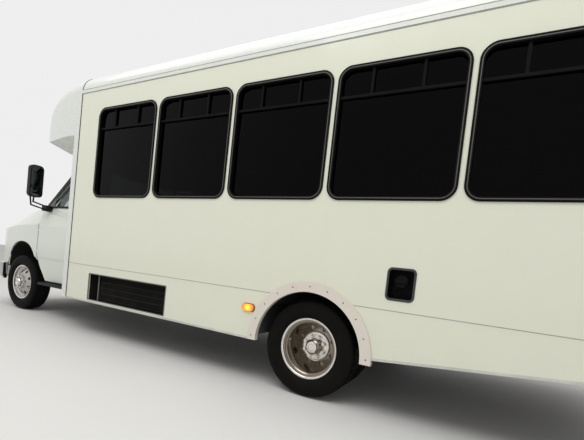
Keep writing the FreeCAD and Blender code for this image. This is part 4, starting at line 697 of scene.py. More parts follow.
def makeTyres():
    tyre = makeTyre()
    for name, side in sides:
        place = (places["frontAxleX"], side * places["frontY"], places["axleZ"])
        front = copied(tyre, "tyreFront" + name.title(), place)
        dress(front, "tyreRubber", "wheel_front_" + name, ["tyre_front_" + name])
        twins = [copied(tyre, "twin", (places["rearAxleX"], side * places[y], places["axleZ"]))
                 for y in ("rearOuterY", "rearInnerY")]
        dress(joined("tyresRear" + name.title(), twins), "tyreRubber", "wheels_rear_" + name,
              ["tyres_rear_" + name])
    removed(tyre)


makeTyres()
print("tyres ready")


# Seats

def swell(piece, pressure, cap):  # cloth simulation under air pressure, with each point's travel capped
    start = [vertex.co.copy() for vertex in piece.data.vertices]
    makeActive(piece)
    cloth = piece.modifiers.new("cloth", "CLOTH")
    cloth.settings.use_pressure = True
    cloth.settings.uniform_pressure_force = pressure
    cloth.settings.effector_weights.gravity = 0
    cloth.settings.tension_stiffness = cloth.settings.compression_stiffness = 25
    cloth.point_cache.frame_start, cloth.point_cache.frame_end = 1, 20
    for step in range(1, 21):
        scene.frame_set(step)
    bpy.ops.object.modifier_apply(modifier=cloth.name)
    scene.frame_set(1)
    for vertex, origin in zip(piece.data.vertices, start):
        travel = vertex.co - origin
        if travel.length > cap:
            vertex.co = origin + travel * (cap / travel.length)


def makePad(name, low, high, look, crown):
    piece = divided(newBox(name, low, high), look["cuts"])
    low, high = Vector(low), Vector(high)
    middle, half = (low + high) / 2, (high - low) / 2
    thin = min(range(3), key=lambda axis: half[axis])
    wide = [axis for axis in range(3) if axis != thin]
    for vertex in piece.data.vertices:  # corners rounded in plan and the broad faces crowned
        share = [(vertex.co[axis] - middle[axis]) / half[axis] for axis in range(3)]
        reach = max(abs(share[axis]) for axis in wide)
        spread = math.sqrt(sum(share[axis] ** 2 for axis in wide)) or 1
        pull = 1 - look["corner"] * max(0, spread - 1) * reach
        for axis in wide:
            vertex.co[axis] = middle[axis] + (vertex.co[axis] - middle[axis]) * pull
        flat = 1 - crown * (share[wide[0]] ** 4 + share[wide[1]] ** 4)
        vertex.co[thin] = middle[thin] + (vertex.co[thin] - middle[thin]) * flat
    swell(piece, look["pressure"], look["cap"])
    return modify(piece, "SUBSURF", levels=1, render_levels=1)


def makeSeats():
    look = {"cuts": 13, "corner": 0.16, "pressure": 3.5, "cap": 0.012, "gap": 0.004, "channelDepth": 0.009,
            "channelWidth": 0.014, "channelShare": 0.62, "width": 0.43, "shift": (-0.006, 0, -0.054),
            "lean": 0.07 / 0.596, "leanFoot": 0.056}
    rows = {"Left": (-1.135, -1.915, -2.695), "Right": (-0.355, -1.135, -1.915, -2.695)}
    spots = {"benchY": 0.72, "benchTop": 1.27, "cabX": 1.645, "cabY": 0.49, "cabTop": 1.0}
    half = look["width"] / 2 - look["gap"]
    cushion = makePad("cushion", (0.012, -half, -0.104), (0.432, half, -0.01), look, 0.22)
    back = makePad("back", (-0.066, -half, 0.0), (0.0, half, 0.645), look, 0.16)
    for pad, front in ((cushion, 2), (back, 0)):
        for vertex in pad.data.vertices:  # valleys along the stitch lines of the front face
            near = min(abs(vertex.co.y - share * half) for share in (-look["channelShare"], look["channelShare"]))
            if near < look["channelWidth"]:
                vertex.co -= (vertex.normal * look["channelDepth"] * (1 - near / look["channelWidth"]) ** 2
                              * max(0, vertex.normal[front]))
        smooth(pad, 60)
    for vertex in back.data.vertices:
        vertex.co += Vector(look["shift"])
        vertex.co.x -= (vertex.co.z + look["leanFoot"]) * look["lean"]

    def seatAt(name, x, y, top, offsets):
        pads = [copied(pad, "pad", (x, y + offset, top)) for offset in offsets for pad in (cushion, back)]
        bench = dress(joined(name, pads), "seatCloth", replaced=["seat_cushions"])

    benches = [(name, side, x) for name, side in (("Left", 1), ("Right", -1)) for x in rows[name]]
    for index, (name, side, x) in enumerate(benches):
        seatAt("bench%s%d" % (name, index), x, side * spots["benchY"], spots["benchTop"],
               (-look["width"] / 2, look["width"] / 2))
    for name, side in (("Driver", 1), ("Passenger", -1)):
        seatAt("seat" + name, spots["cabX"], side * spots["cabY"], spots["cabTop"], (0,))
    removed(cushion, back)


makeSeats()
print("seats ready")


# Wheel dressing: bright lips, nuts, hub caps, valves

def dressWheels():
    look = {"nutRadius": 0.0185, "nutHeight": 0.034, "nutCircle": 0.082, "nutCount": 8, "nutShare": 0.22,
            "lip": [(0.0835, 0.217), (0.0845, 0.2262), (0.086, 0.2295), (0.0885, 0.231), (0.091, 0.2298),
                    (0.0914, 0.2262), (0.0902, 0.221), (0.0885, 0.2165), (0.086, 0.2145), (0.0835, 0.217)],
            "cover": [(-0.0635, 0.061), (-0.05, 0.06), (-0.046, 0.063), (-0.0455, 0.1), (-0.048, 0.112),
                      (-0.054, 0.119), (-0.062, 0.12), (-0.065, 0.116), (-0.0635, 0.061)],
            "valve": 0.005}
    ends = {"Front": {"x": places["frontAxleX"], "y": places["frontY"], "body": "wheel_front_", "nuts": 0.086,
                      "valveOut": 0.052, "metal": "frontChrome",
                      "cap": [(0.086, 0.06), (0.099, 0.059), (0.106, 0.052), (0.135, 0.0505), (0.144, 0.046),
                              (0.148, 0.036), (0.149, 0.024), (0.146, 0.022), (0.146, 0.0005)]},
            "Rear": {"x": places["rearAxleX"], "y": places["rearOuterY"], "body": "wheels_rear_", "nuts": -0.05,
                     "valveOut": 0.03, "metal": "rearChrome",
                     "cap": [(-0.052, 0.059), (0.001, 0.054), (0.009, 0.05), (0.018, 0.045), (0.026, 0.043),
                             (0.029, 0.038), (0.03, 0.026), (0.027, 0.024), (0.027, 0.0005)]}}
    radius, height, share = look["nutRadius"], look["nutHeight"], look["nutShare"]
    nut = raiseFace(newRod("nut", (0, 0, 0), (0, height, 0), radius, 6), 1, 1, (radius * share, height * share))
    smooth(bevelEdges(nut, radius * 0.09, 2, 25), 30)
    for name, side in sides:
        nutSided = copied(nut, "nutSided") if side > 0 else mirroredAcross(nut, "nutSided")
        for end, spec in ends.items():
            x, y, z = spec["x"], side * spec["y"], places["axleZ"]
            parts = [turned("lip", look["lip"], (x, y, z), (0, side, 0), 96),
                     turned("cap", spec["cap"], (x, y, z), (0, side, 0), 48)]
            for index in range(look["nutCount"]):
                angle = 2 * math.pi * (index + 0.5) / look["nutCount"]
                parts.append(copied(nutSided, "twin", (x + look["nutCircle"] * math.cos(angle),
                                                       y + side * spec["nuts"],
                                                       z + look["nutCircle"] * math.sin(angle))))
            if end == "Rear":
                parts.append(turned("cover", look["cover"], (x, y, z), (0, side, 0)))
            foot = Vector((x + 0.176, y + side * spec["valveOut"], z + 0.045))
            parts.append(newRod("valve", foot, foot + Vector((-0.012, side * 0.045, -0.004)), look["valve"], 10,
                                look["valve"] * 0.8))
            dress(joined("wheelTrim" + end + name.title(), parts), spec["metal"], spec["body"] + name)
        removed(nutSided)
    removed(nut)


dressWheels()
print("wheel trim ready")


# Body seams and edge trims

def archBand(name, x, width, lift, foot):  # a strip that runs up one side, over the roof and down the other
    corner = {"side": 1.219, "radius": 0.19, "edge": 2.84, "crown": 2.865, "steps": 8}
    flat, spring = corner["side"] - corner["radius"], corner["edge"] - corner["radius"]
    points = [(x, corner["side"] + lift, foot), (x, corner["side"] + lift, spring)]
    for index in range(1, corner["steps"] + 1):
        angle, reach = math.pi / 2 * index / corner["steps"], corner["radius"] + lift
        points.append((x, flat + reach * math.cos(angle), spring + reach * math.sin(angle)))
    for index in range(1, corner["steps"] + 1):
        share = 1 - index / corner["steps"]
        points.append((x, flat * share, corner["edge"] + lift + (corner["crown"] - corner["edge"]) * (1 - share ** 2)))
    points += [(x, -y, z) for _, y, z in reversed(points[:-1])]
    band = bevelEdges(newSheet(name, points, (width, 0, 0), lift + 0.0015, -1), 0.001)
    dress(smooth(band, 30), "seamRubber")


def makeSeams():
    seam = {"capX": 1.5185, "rearX": -3.5805, "width": 0.011, "lift": 0.0035, "foot": 0.366, "rearFoot": 0.562,
            "rearShare": 0.7, "skirtZ": 0.7475, "skirtHeight": 0.005, "skirtLift": 0.0012, "archReach": 0.34}
    archBand("capSeamBead", seam["capX"], seam["width"], seam["lift"], seam["foot"])
    archBand("rearSeamBead", seam["rearX"], seam["width"] * seam["rearShare"], seam["lift"] * seam["rearShare"],
             seam["rearFoot"])
    behind, ahead = places["rearAxleX"] - seam["archReach"], places["rearAxleX"] + seam["archReach"]
    runs = {"left": [(-3.57, behind), (ahead, seam["capX"])],
            "right": [(-3.57, behind), (ahead, 0.489), (1.401, seam["capX"])]}
    for name, side in sides:
        low, high = sorted((side * places["sideY"] - 0.001, side * (places["sideY"] + seam["skirtLift"])))
        strips = [newBox("strip", (start, low, seam["skirtZ"]), (end, high, seam["skirtZ"] + seam["skirtHeight"]))
                  for start, end in runs[name]]
        dress(bevelEdges(joined("skirtSeam" + name.title(), strips), 0.0006), "sealant")


def makeEdgeTrims():  # bright angle along the foot of each skirt
    trim = {"face": 0.014, "lift": 0.0025, "under": 0.022, "foot": 0.36, "flare": 0.51, "rise": 0.04, "tail": 0.56,
            "rearX": -3.575, "frontX": 1.52, "doorX": (0.489, 1.401)}
    y, foot = places["sideY"], trim["foot"]
    behind, ahead = places["rearAxleX"] - trim["flare"], places["rearAxleX"] + trim["flare"]
    for _, side in sides:
        spans = [((ahead, foot), (trim["frontX"] if side > 0 else trim["doorX"][0], foot)),
                 ((trim["rearX"], trim["tail"]), (behind, foot + trim["rise"]))]
        if side < 0:
            spans.append(((trim["doorX"][1], foot), (trim["frontX"], foot)))
        parts = []
        for (x0, z0), (x1, z1) in spans:
            strip = newBox("strip", (x0, y - 0.0005, -trim["lift"]), (x1, y + trim["lift"], trim["face"]))
            pickSide(strip, 2, -1)
            extrude((0, 0, -0.0001))
            editDone()
            shelf = newBox("shelf", (x0, y - trim["under"], -trim["lift"]), (x1, y, -0.0003))
            for vertex in joined("strip", [strip, shelf]).data.vertices:
                vertex.co.z += z0 + (z1 - z0) * (vertex.co.x - x0) / (x1 - x0)
            parts.append(strip)
        dressSide(bevelEdges(joined("edgeTrim", parts), 0.0008), side, "brightTrim")


makeSeams()
makeEdgeTrims()
print("seams ready")


# Window beads and filler rim

def makeWindowTrim():
    look = {"fronts": (1.189, 0.285, -0.619, -1.523, -2.427), "length": 0.871, "sill": 1.475, "head": 2.415,
            "corner": 0.1, "inset": 0.0125, "bead": 0.0075, "foot": 0.002, "lift": 0.0095}
    y, inset = places["sideY"], look["inset"]
    for _, side in sides:
        fronts = look["fronts"] if side > 0 else look["fronts"][1:]
        beads = [newRing("bead", (front - look["length"] + inset, y + look["foot"], look["sill"] + inset),
                         (front - inset, y + look["lift"], look["head"] - inset), 1, look["corner"] - inset,
                         look["bead"], 10, 0.0022) for front in fronts]
        dressSide(smooth(joined("windowBeads", beads)), side, "beadRubber")


def makeFiller():
    look = {"low": (-2.2195, 1.2175, 0.8185), "high": (-2.0305, 1.224, 1.0385), "corner": 0.034, "width": 0.015,
            "cap": (-2.125, 1.189, 0.9485), "capRadius": 0.043}
    rim = newRing("fillerRim", look["low"], look["high"], 1, look["corner"], look["width"])
    dress(smooth(bevelEdges(rim, 0.0028, 3)), "rimPlastic")
    (x, y, z), r = look["cap"], look["capRadius"]
    cap = turned("cap", [(-0.012, r * 0.8), (0.004, r), (0.014, r), (0.018, r * 0.93), (0.018, r * 0.2),
                         (0.018, 0.0004)], (x, y, z), (0, 1, 0), 40)
    grip = newBox("grip", (x - r * 0.85, y + 0.016, z - 0.007), (x + r * 0.85, y + 0.031, z + 0.007), 0.003, 3)
    tether = newPipe("tether", [(x + 0.02, y + 0.012, z - 0.03), (x + 0.045, y + 0.018, z - 0.06),
                                (x + 0.062, y - 0.01, z - 0.075)], 0.0025, 0.012)
    dress(joined("fillerCap", [cap, grip, tether]), "shadeBlack")


makeWindowTrim()
makeFiller()
print("window trim ready")


# Rear arch flares: bolts, and the gaskets under the lamps low on the sides

def makeFlareBolts():
    look = {"circle": 0.472, "radius": 0.0062, "rise": 0.0035, "count": 13, "first": -14, "spread": 208,
            "face": 1.2352, "lowest": 0.38}
    angles = [math.pi / 2 * index / 3 for index in range(4)]
    dome = [(-0.002, look["radius"])] + [(look["rise"] * math.sin(angle), max(look["radius"] * math.cos(angle), 0.0002))
                                         for angle in angles]
    bolts = []
    for index in range(look["count"]):
        angle = math.radians(look["first"] + look["spread"] * index / (look["count"] - 1))
        place = (places["rearAxleX"] + look["circle"] * math.cos(angle), look["face"],
                 places["axleZ"] + look["circle"] * math.sin(angle))
        if place[2] >= look["lowest"]:
            bolts.append(turned("bolt", dome, place, (0, 1, 0), 10, 50))
    dressPair(joined("flareBoltsLeft", bolts), "rustyBolt")


def makeSideLamps():  # rubber gasket round the foot of each side lamp
    look = {"low": (-1.017, 1.2193, 0.575), "high": (-0.897, 1.2238, 0.641), "corner": 0.029}
    base = roundedBox("sideLampBaseLeft", look["low"], look["high"], 1, look["corner"], 6)
    dressPair(bevelEdges(base, 0.0015), "gasketRubber")


makeFlareBolts()
makeSideLamps()
print("flares and side lamps ready")


# Condenser opening

def makeCondenser():
    look = {"aft": -0.019, "fore": 1.14, "foot": 0.386, "head": 0.668, "face": 1.219, "coilY": 1.1687,
            "coilFore": 0.989, "pitch": 0.0075, "fin": 0.0012, "deep": 0.006, "width": 0.009, "lift": 0.0022,
            "corner": 0.008}
    aft, foot, head, coilY, fore = look["aft"] + 0.012, look["foot"], look["head"], look["coilY"], look["coilFore"]
    fin = newBox("fin", (aft, coilY, foot - 0.01), (aft + look["fin"], coilY + look["deep"], head + 0.01))
    rail = newBox("rail", (aft, coilY + 0.004, foot + 0.02), (fore, coilY + 0.009, foot + 0.0235))
    fins = [repeated(fin, int((fore - aft - 0.002) / look["pitch"]), (look["pitch"], 0, 0)),
            repeated(rail, 5, (0, 0, 0.06))]
    dress(joined("condenserFins", fins), "coilBlack")
    strip = newBox("condenserStrip", (fore + 0.004, coilY + 0.02, foot + 0.002),
                   (fore + 0.017, coilY + 0.026, head - 0.002), 0.002)
    edge = newRing("ventFrame", (look["aft"] - 0.002, look["face"] - 0.001, foot - 0.002),
                   (look["fore"] + 0.002, look["face"] + look["lift"], head + 0.002), 1, look["corner"],
                   look["width"], 3, 0.0009)
    for piece in (strip, edge):
        dress(piece, "ventTrim")


makeCondenser()
print("condenser ready")


# Gutters and the lines along the edge of the roof

def makeGutters():
    look = {"aft": -3.57, "fore": 1.515, "rail": (2.6435, 2.6525), "railIn": 0.004, "railOut": 0.006,
            "seam": (2.6045, 2.6115), "seamIn": 0.002, "seamOut": 0.0009}
    y = places["sideY"]
    rail = newBox("gutterLeft", (look["aft"], y - look["railIn"], look["rail"][0]),
                  (look["fore"], y + look["railOut"], look["rail"][1]))
    dressPair(bevelEdges(raiseFace(rail, 2, 1, (0.002, -0.003)), 0.0009), "bodyPaint")
    seam = newBox("roofSeamLeft", (look["aft"], y - look["seamIn"], look["seam"][0]),
                  (look["fore"], y + look["seamOut"], look["seam"][1]), 0.0004, 1)
    dressPair(seam, "sealant")


makeGutters()
print("gutters ready")


# Windscreen: printed border, wipers, cowl

screen = {"foot": (2.64, 0, 1.396), "along": (-0.65597, 0, 0.7548), "out": (0.7548, 0, 0.65597),
          "length": 0.8095, "footHalf": 0.796, "headHalf": 0.696, "glass": 0.0061}


def ontoScreen(piece):  # from (across, up the glass, off the glass) to the windscreen's slope
    foot, along, out = (Vector(screen[key]) for key in ("foot", "along", "out"))
    for vertex in piece.data.vertices:
        across, up, off = vertex.co
        vertex.co = foot + along * up + out * off
        vertex.co.y = across
    return piece


def makeWindscreen():
    look = {"border": 0.042, "print": 0.0008, "corner": 0.06, "gap": 0.004, "wipers": ((0.6, 0.33), (-0.06, -0.36)),
            "tilt": math.radians(-5.5), "hub": 0.042, "blade": 0.088, "arm": 0.0055, "bladeHalf": 0.27, "slats": 34}
    glass, half, gap = screen["glass"], screen["footHalf"], look["gap"]
    border = newRing("screenBorder", (gap - half, gap, glass), (half - gap, screen["length"] - gap,
                                                                glass + look["print"]),
                     2, look["corner"], look["border"], 6)
    for vertex in border.data.vertices:
        vertex.co.x *= 1 - (1 - screen["headHalf"] / half) * vertex.co.y / screen["length"]
    dress(ontoScreen(border), "gasketRubber")
    parts, half = [], look["bladeHalf"]
    for pivot, middle in look["wipers"]:
        hub = newRod("hub", (pivot, look["hub"], glass), (pivot, look["hub"], glass + 0.024), 0.015, 16, 0.011)
        blade = newBox("blade", (-half, -0.0035, 0), (half, 0.0035, 0.009))
        carrier = newBox("carrier", (-half * 0.92, -0.005, 0.0095), (half * 0.92, 0.005, 0.015))
        raiseFace(carrier, 2, 1, (0.003, 0.003))
        bar = bevelEdges(joined("bar", [blade, carrier]), 0.0008)
        turnedTo(bar, (middle, look["blade"], glass + 0.001), (0, 0, look["tilt"]))
        arm = newPipe("arm", [(pivot, look["hub"], glass + 0.021), (pivot - 0.09, look["hub"] + 0.012, glass + 0.026),
                              (middle, look["blade"], glass + 0.019)], look["arm"], 0.03)
        parts += [bevelEdges(hub, 0.002), bar, arm]
    dress(ontoScreen(joined("wipers", parts)), "blackPlastic")
    slat = newBox("slat", (2.651, -0.774, 1.3745), (2.671, -0.738, 1.3785), 0.0012)
    parts = [repeated(slat, look["slats"], (0, 0.0459, 0))]
    for low in (2.646, 2.671):
        parts.append(newBox("rail", (low, -0.785, 1.3725), (low + 0.005, 0.785, 1.3815), 0.0015))
    dress(joined("cowlGrille", parts), "blackPlastic")


makeWindscreen()
print("windscreen ready")


# Cab doors: black window surround, belt strip, handle, inner panel, mirror glass

doorSkin = [(0.446, 0.973), (0.715, 0.989), (0.752, 1.003), (1.15, 1.003), (1.385, 0.951), (2.0, 0.853)]


def skinY(z):  # the door's outer face, height by height
    for (z0, y0), (z1, y1) in zip(doorSkin, doorSkin[1:]):
        if z <= z1:
            return y0 + (y1 - y0) * (z - z0) / (z1 - z0)
    return doorSkin[-1][1]


def skinPlate(name, outline, off, lift):
    return newPlate(name, [(x, skinY(z) + off, z) for x, z in outline], (0, lift, 0))


def makeDoorTrim(name, side):
    look = {"plates": {"band": [(2.497, 1.404), (2.577, 1.392), (2.036, 1.982), (1.944, 1.982)],
                       "top": [(1.636, 1.922), (2.004, 1.922), (1.953, 1.981), (1.636, 1.981)],
                       "rearPost": [(1.636, 1.4), (1.696, 1.4), (1.696, 1.981), (1.636, 1.981)]},
            "window": [(1.689, 1.407), (2.505, 1.407), (2.0, 1.93), (1.689, 1.93)], "rubber": 0.011,
            "sail": [(2.505, 1.41), (2.385, 1.41), (2.385, 1.528)],
            "handle": ((1.683, 1.152), (1.866, 1.197)), "handleY": 1.0195, "lock": (1.888, 1.176)}
    frames = [skinPlate(label, outline, 0.0005, 0.0028) for label, outline in look["plates"].items()]
    frames.append(cutThrough(skinPlate("ring", look["window"], -0.004, 0.0085), 1, look["rubber"]))
    frames.append(raiseFace(newBox("belt", (1.64, 0.947, 1.3915), (2.572, 0.9575, 1.4075)), 1, 1, (0.003, 0.004)))
    frames = bevelEdges(joined("doorWindowTrim", frames), 0.0009)
    sail = bevelEdges(skinPlate("sailPanel", look["sail"], -0.001, 0.006), 0.002)
    (x0, z0), (x1, z1) = look["handle"]
    plate = roundedBox("plate", (x0 - 0.008, 0.995, z0 - 0.006), (x1 + 0.008, 1.006, z1 + 0.006), 1, 0.012, 4)
    for vertex in plate.data.vertices:
        vertex.co.y += skinY(vertex.co.z) - 1.003
    pull = roundedBox("pull", (x0 + 0.002, 0.995, z0 + 0.003), (x1 - 0.004, look["handleY"], z1 - 0.003), 1, 0.008, 4)
    grip = newBox("grip", (x0 + 0.012, 0.99, z0 + 0.006), (x1 - 0.05, look["handleY"] + 0.003, z1 - 0.022))
    x, z = look["lock"]
    lock = turned("lock", [(-0.002, 0.0125), (0.004, 0.0125), (0.006, 0.011), (0.0055, 0.0085), (0.0045, 0.0004)],
                  (x, skinY(z) - 0.001, z), (0, 1, 0), 24)
    handle = smooth(bevelEdges(joined("doorHandle", [plate, pull, grip, lock]), 0.002, 3))
    card = raiseFace(roundedBox("card", (1.7, 0.905, 0.56), (2.46, 0.934, 1.36), 1, 0.05), 1, -1, (0.03, -0.006))
    rest = roundedBox("rest", (1.8, 0.866, 1.06), (2.3, 0.906, 1.11), 2, 0.03)
    lever = newBox("lever", (2.33, 0.888, 1.15), (2.41, 0.906, 1.175))
    card = smooth(bevelEdges(joined("doorCard", [card, rest, lever]), 0.004))
    flat = roundedBox("flat", (2.3515, 1.1335, 1.604), (2.3552, 1.2605, 1.8535), 0, 0.028, 6)
    convex = roundedBox("convex", (2.35, 1.1335, 1.4935), (2.3552, 1.2605, 1.5935), 0, 0.022, 6)
    raiseFace(convex, 0, -1, *[(0.009, 0.0016)] * 3)
    glass = smooth(bevelEdges(joined("mirrorGlass", [flat, convex]), 0.0008), 50)
    bezel = joined("mirrorBezel", [
        newRing("bezel", (2.349, 1.1285, 1.599), (2.3565, 1.2655, 1.8585), 0, 0.033, 0.006, 6, 0.0014),
        newRing("bezel", (2.3475, 1.1285, 1.4885), (2.355, 1.2655, 1.5985), 0, 0.027, 0.006, 6, 0.0014)])
    for piece, material, slot in ((frames, "gasketRubber", "rubber"), (sail, "ventTrim", "trim_black"),
                                  (handle, "blackPlastic", "trim_black"), (card, "dashPlastic", "grey_plastic"),
                                  (glass, "mirrorDarkReflection", "clear_glass"), (bezel, "blackPlastic", "trim_black")):
        dressSide(piece, side, material, "door_" + name)


for name, side in sides:
    makeDoorTrim(name, side)
print("cab doors ready")


# Front wheel housings

arch = [(-0.31, 0.77), (-0.24, 0.85), (-0.15, 0.905), (-0.04, 0.93), (0.08, 0.93), (0.2, 0.9),
        (0.29, 0.84), (0.35, 0.76), (0.4, 0.66)]  # from the axle, and above the ground


def makeArchLiners():
    look = {"points": [(-0.475, 0.54), (-0.42, 0.64), (-0.36, 0.7), *arch, (0.425, 0.56)],
            "grow": 1.003, "middle": 0.6, "inner": 0.562, "across": 0.4, "wall": 0.0025}
    points = [(places["frontAxleX"] + x * look["grow"], look["inner"],
               look["middle"] + (z - look["middle"]) * look["grow"]) for x, z in look["points"]]
    liner = newSheet("archLinerLeft", points, (0, look["across"], 0), look["wall"], 0)
    dressPair(smooth(liner), "stepRubber")


def makeFenderLips():  # rolled edge that follows the front arch over the fender's swell
    look = {"points": [(-0.34, 0.732), *arch, (0.425, 0.565)], "middle": (0.02, 0.56), "between": 6, "reach": 0.012,
            "radius": 0.0065, "sink": 0.003}
    points, track, rail = look["points"], [], []
    for index in range(len(points) - 1):
        knots = [Vector(points[max(0, min(len(points) - 1, index + step))]) for step in (-1, 0, 1, 2)]
        for part in range(look["between"]):
            t = part / look["between"]
            track.append(0.5 * (2 * knots[1] + (knots[2] - knots[0]) * t
                                + (2 * knots[0] - 5 * knots[1] + 4 * knots[2] - knots[3]) * t ** 2
                                + (3 * knots[1] - knots[0] - 3 * knots[2] + knots[3]) * t ** 3))
    for spot in track:
        out = (spot - Vector(look["middle"])).normalized()
        probe, inner = spot + out * look["reach"], spot - out * look["sink"]
        place = hitOn("fenders", (places["frontAxleX"] + probe.x, 9, probe.y), (0, -1, 0))[0]
        if place is not None and place.y > 0.8:
            rail.append((places["frontAxleX"] + inner.x, place.y - look["radius"] * 0.75, inner.y))
    dressPair(newPipe("fenderLipLeft", rail, look["radius"]), "doorPaint")


def makeRearShadeSheets():  # dark upright sheets between the rear tyres and the frame: painted shade, standing in for the shadow that the floor, rails and axle cast there
    panel = roundedBox("splashPanelLeft", (-1.975, 0.66, 0.452), (-0.995, 0.664, 0.846), 1, 0.06)
    dressPair(bevelEdges(panel, 0.001), "chassisPaint")


makeArchLiners()
makeFenderLips()
makeRearShadeSheets()
print("wheel housings ready")


# Nose: grille surround, lamps, bumper strips, blank plate

def domedBox(name, low, high, axis, side, corner, inset, rise):  # a rounded block whose face bulges out
    return smooth(raiseFace(roundedBox(name, low, high, axis, corner), axis, side, *[(inset, rise)] * 2), 50)


def makeNose():
    look = {"surround": ((0, -0.555, 0.66), (0.008, 0.555, 1.075)), "bars": (0.83, 0.88, 0.93, 0.98),
            "lampY": 0.676, "lampZ": 0.94, "lampRadius": 0.088, "strips": ((0.185, 0.74), (-0.74, -0.185)),
            "jetX": 2.8, "jetY": (-0.28, 0.28)}
    ring = layOn(newRing("grilleSurround", *look["surround"], 0, 0.03, 0.028, 5, 0.0025), 5, "grille", 3.77)
    dress(smooth(ring), "brightTrim")
    bars = [newBox("bar", (3.7665, -0.498, z + 0.002), (3.774, 0.498, z + 0.014), 0.003, 3) for z in look["bars"]]
    dress(joined("grilleBars", bars), "brightTrim")
    y, z, r = look["lampY"], look["lampZ"], look["lampRadius"]
    x = hitOn("headlamps", (5, y, z), (-1, 0, 0))[0].x
    for _, side in sides:
        bezel = layOn(newRing("bezel", (-0.001, 0.578, 0.834), (0.007, 0.776, 1.046), 0, 0.03, 0.012, 5), 4,
                      "headlamps", 3.75)
        split = layOn(newBox("split", (-0.001, 0.783, 0.828), (0.005, 0.791, 1.052)), 6, "headlamps", 3.74)
        bezel = smooth(joined("headlampBezel", [bezel, split]))
        bowl = turned("headlampBowl", [(-0.004, r * 0.99), (0.007, r), (0.0095, r * 0.97), (0.009, r * 0.93),
                                       (0.004, r * 0.9), (-0.004, r * 0.88), (-0.004, r * 0.99)],
                      (x, y, z), (1, 0, 0), 40)
        dome = turned("headlampLens", [(-0.004, 0.0004), (-0.004, r * 0.88), (0.006, r * 0.88), (0.0105, r * 0.7),
                                       (0.013, r * 0.45), (0.0125, r * 0.42), (0.0145, r * 0.2), (0.015, 0.0004)],
                      (x, y, z), (1, 0, 0), 40)
        corner = smooth(layOn(newBox("cornerLens", (-0.001, 0.797, 0.842), (0.006, 0.903, 1.036)), 11, "headlamps",
                              3.66), 50)
        for piece, material, slot in ((bezel, "blackPlastic", "trim_black"), (bowl, "lampReflector", "lamp_clear"),
                                      (dome, "clearLens", "lamp_clear"), (corner, "amberLens", "lamp_amber")):
            dressSide(piece, side, material)
    strips = [layOn(raiseFace(newBox("strip", (-0.001, low, 0.468), (0.009, high, 0.516)), 0, 1, (0.006, 0.003)), 7,
                    "front_bumper", 3.8) for low, high in look["strips"]]
    dress(smooth(joined("bumperStrips", strips)), "blackPlastic")
    jets = []
    for y in look["jetY"]:
        place, normal = hitOn("hood", (look["jetX"], y, 3), (0, 0, -1))
        jet = newBox("jet", (-0.008, -0.011, -0.001), (0.008, 0.011, 0.007), 0.003)
        jets.append(turnedTo(jet, place, normal=normal))
    dress(joined("washerJets", jets), "blackPlastic", "hood")


def makePlate(name, x, z, side):  # a blank registration plate in its frame, with two screws
    low, high = sorted((x, x + side * 0.0022))
    plate = roundedBox(name, (low, -0.152, z), (high, 0.152, z + 0.152), 0, 0.012, 4)
    dress(raiseFace(plate, 0, side, (0.005, -0.0009)), "plateWhite")
    low, high = sorted((x - side * 0.002, x + side * 0.005))
    rim = newRing(name + "Frame", (low, -0.162, z - 0.01), (high, 0.162, z + 0.162), 0, 0.02, 0.013, 4, 0.0015)
    screws = [turned("screw", [(0.0, 0.0004), (0.0, 0.007), (0.0035, 0.007), (0.005, 0.005), (0.0055, 0.0004)],
                     (x + side * 0.001, y, z + 0.132), (side, 0, 0), 14) for y in (-0.09, 0.09)]
    dress(joined(name + "Frame", [rim] + screws), "blackPlastic")


makeNose()
makePlate("frontPlate", 3.8165, 0.415, 1)
makePlate("rearPlate", -3.7055, 0.668, -1)
print("nose ready")


# Marker lamps along the brow of the front cap and the top of the rear wall

def makeMarkers():
    look = {"capY": (-0.72, -0.13, 0, 0.13, 0.72), "capZ": 2.53, "rearY": (-0.56, -0.11, 0, 0.11, 0.56)}
    lenses, bases = [], []
    for y in look["capY"]:
        place, normal = hitOn("front_cap", (5, y, look["capZ"]), (-1, 0, 0))
        block = domedBox("lens", (-0.044, -0.012, 0.001), (0.044, 0.012, 0.011), 2, 1, 0.011, 0.0035, 0.0015)
        base = bevelEdges(roundedBox("base", (-0.05, -0.018, -0.002), (0.05, 0.018, 0.0035), 2, 0.016), 0.001)
        lenses.append(turnedTo(block, place, normal=normal))
        bases.append(turnedTo(base, place, normal=normal))
    dress(joined("capLampLenses", lenses), "amberLens")
    dress(joined("capLampBases", bases), "blackPlastic")
    lenses = [domedBox("lens", (-3.7262, y - 0.043, 2.6375), (-3.7055, y + 0.043, 2.6725), 0, -1, 0.01, 0.004, 0.0012)
              for y in look["rearY"]]
    dress(joined("rearMarkerLenses", lenses), "redLens")


def makeCapGussets():  # close the corner between each flare and the underside of the nose
    look = {"x": 1.5955, "deep": 0.0205, "outline": [(0.846, 2.006), (1.2055, 2.006), (1.2055, 2.159), (0.862, 2.014)]}
    gusset = newPlate("capGussetLeft", [(look["x"], y, z) for y, z in look["outline"]], (look["deep"], 0, 0))
    dressPair(bevelEdges(gusset, 0.0012), "capMoulding")


makeMarkers()
makeCapGussets()
print("marker lamps ready")


# Rear: lamps, reflectors, door seals, latch, bumper tread

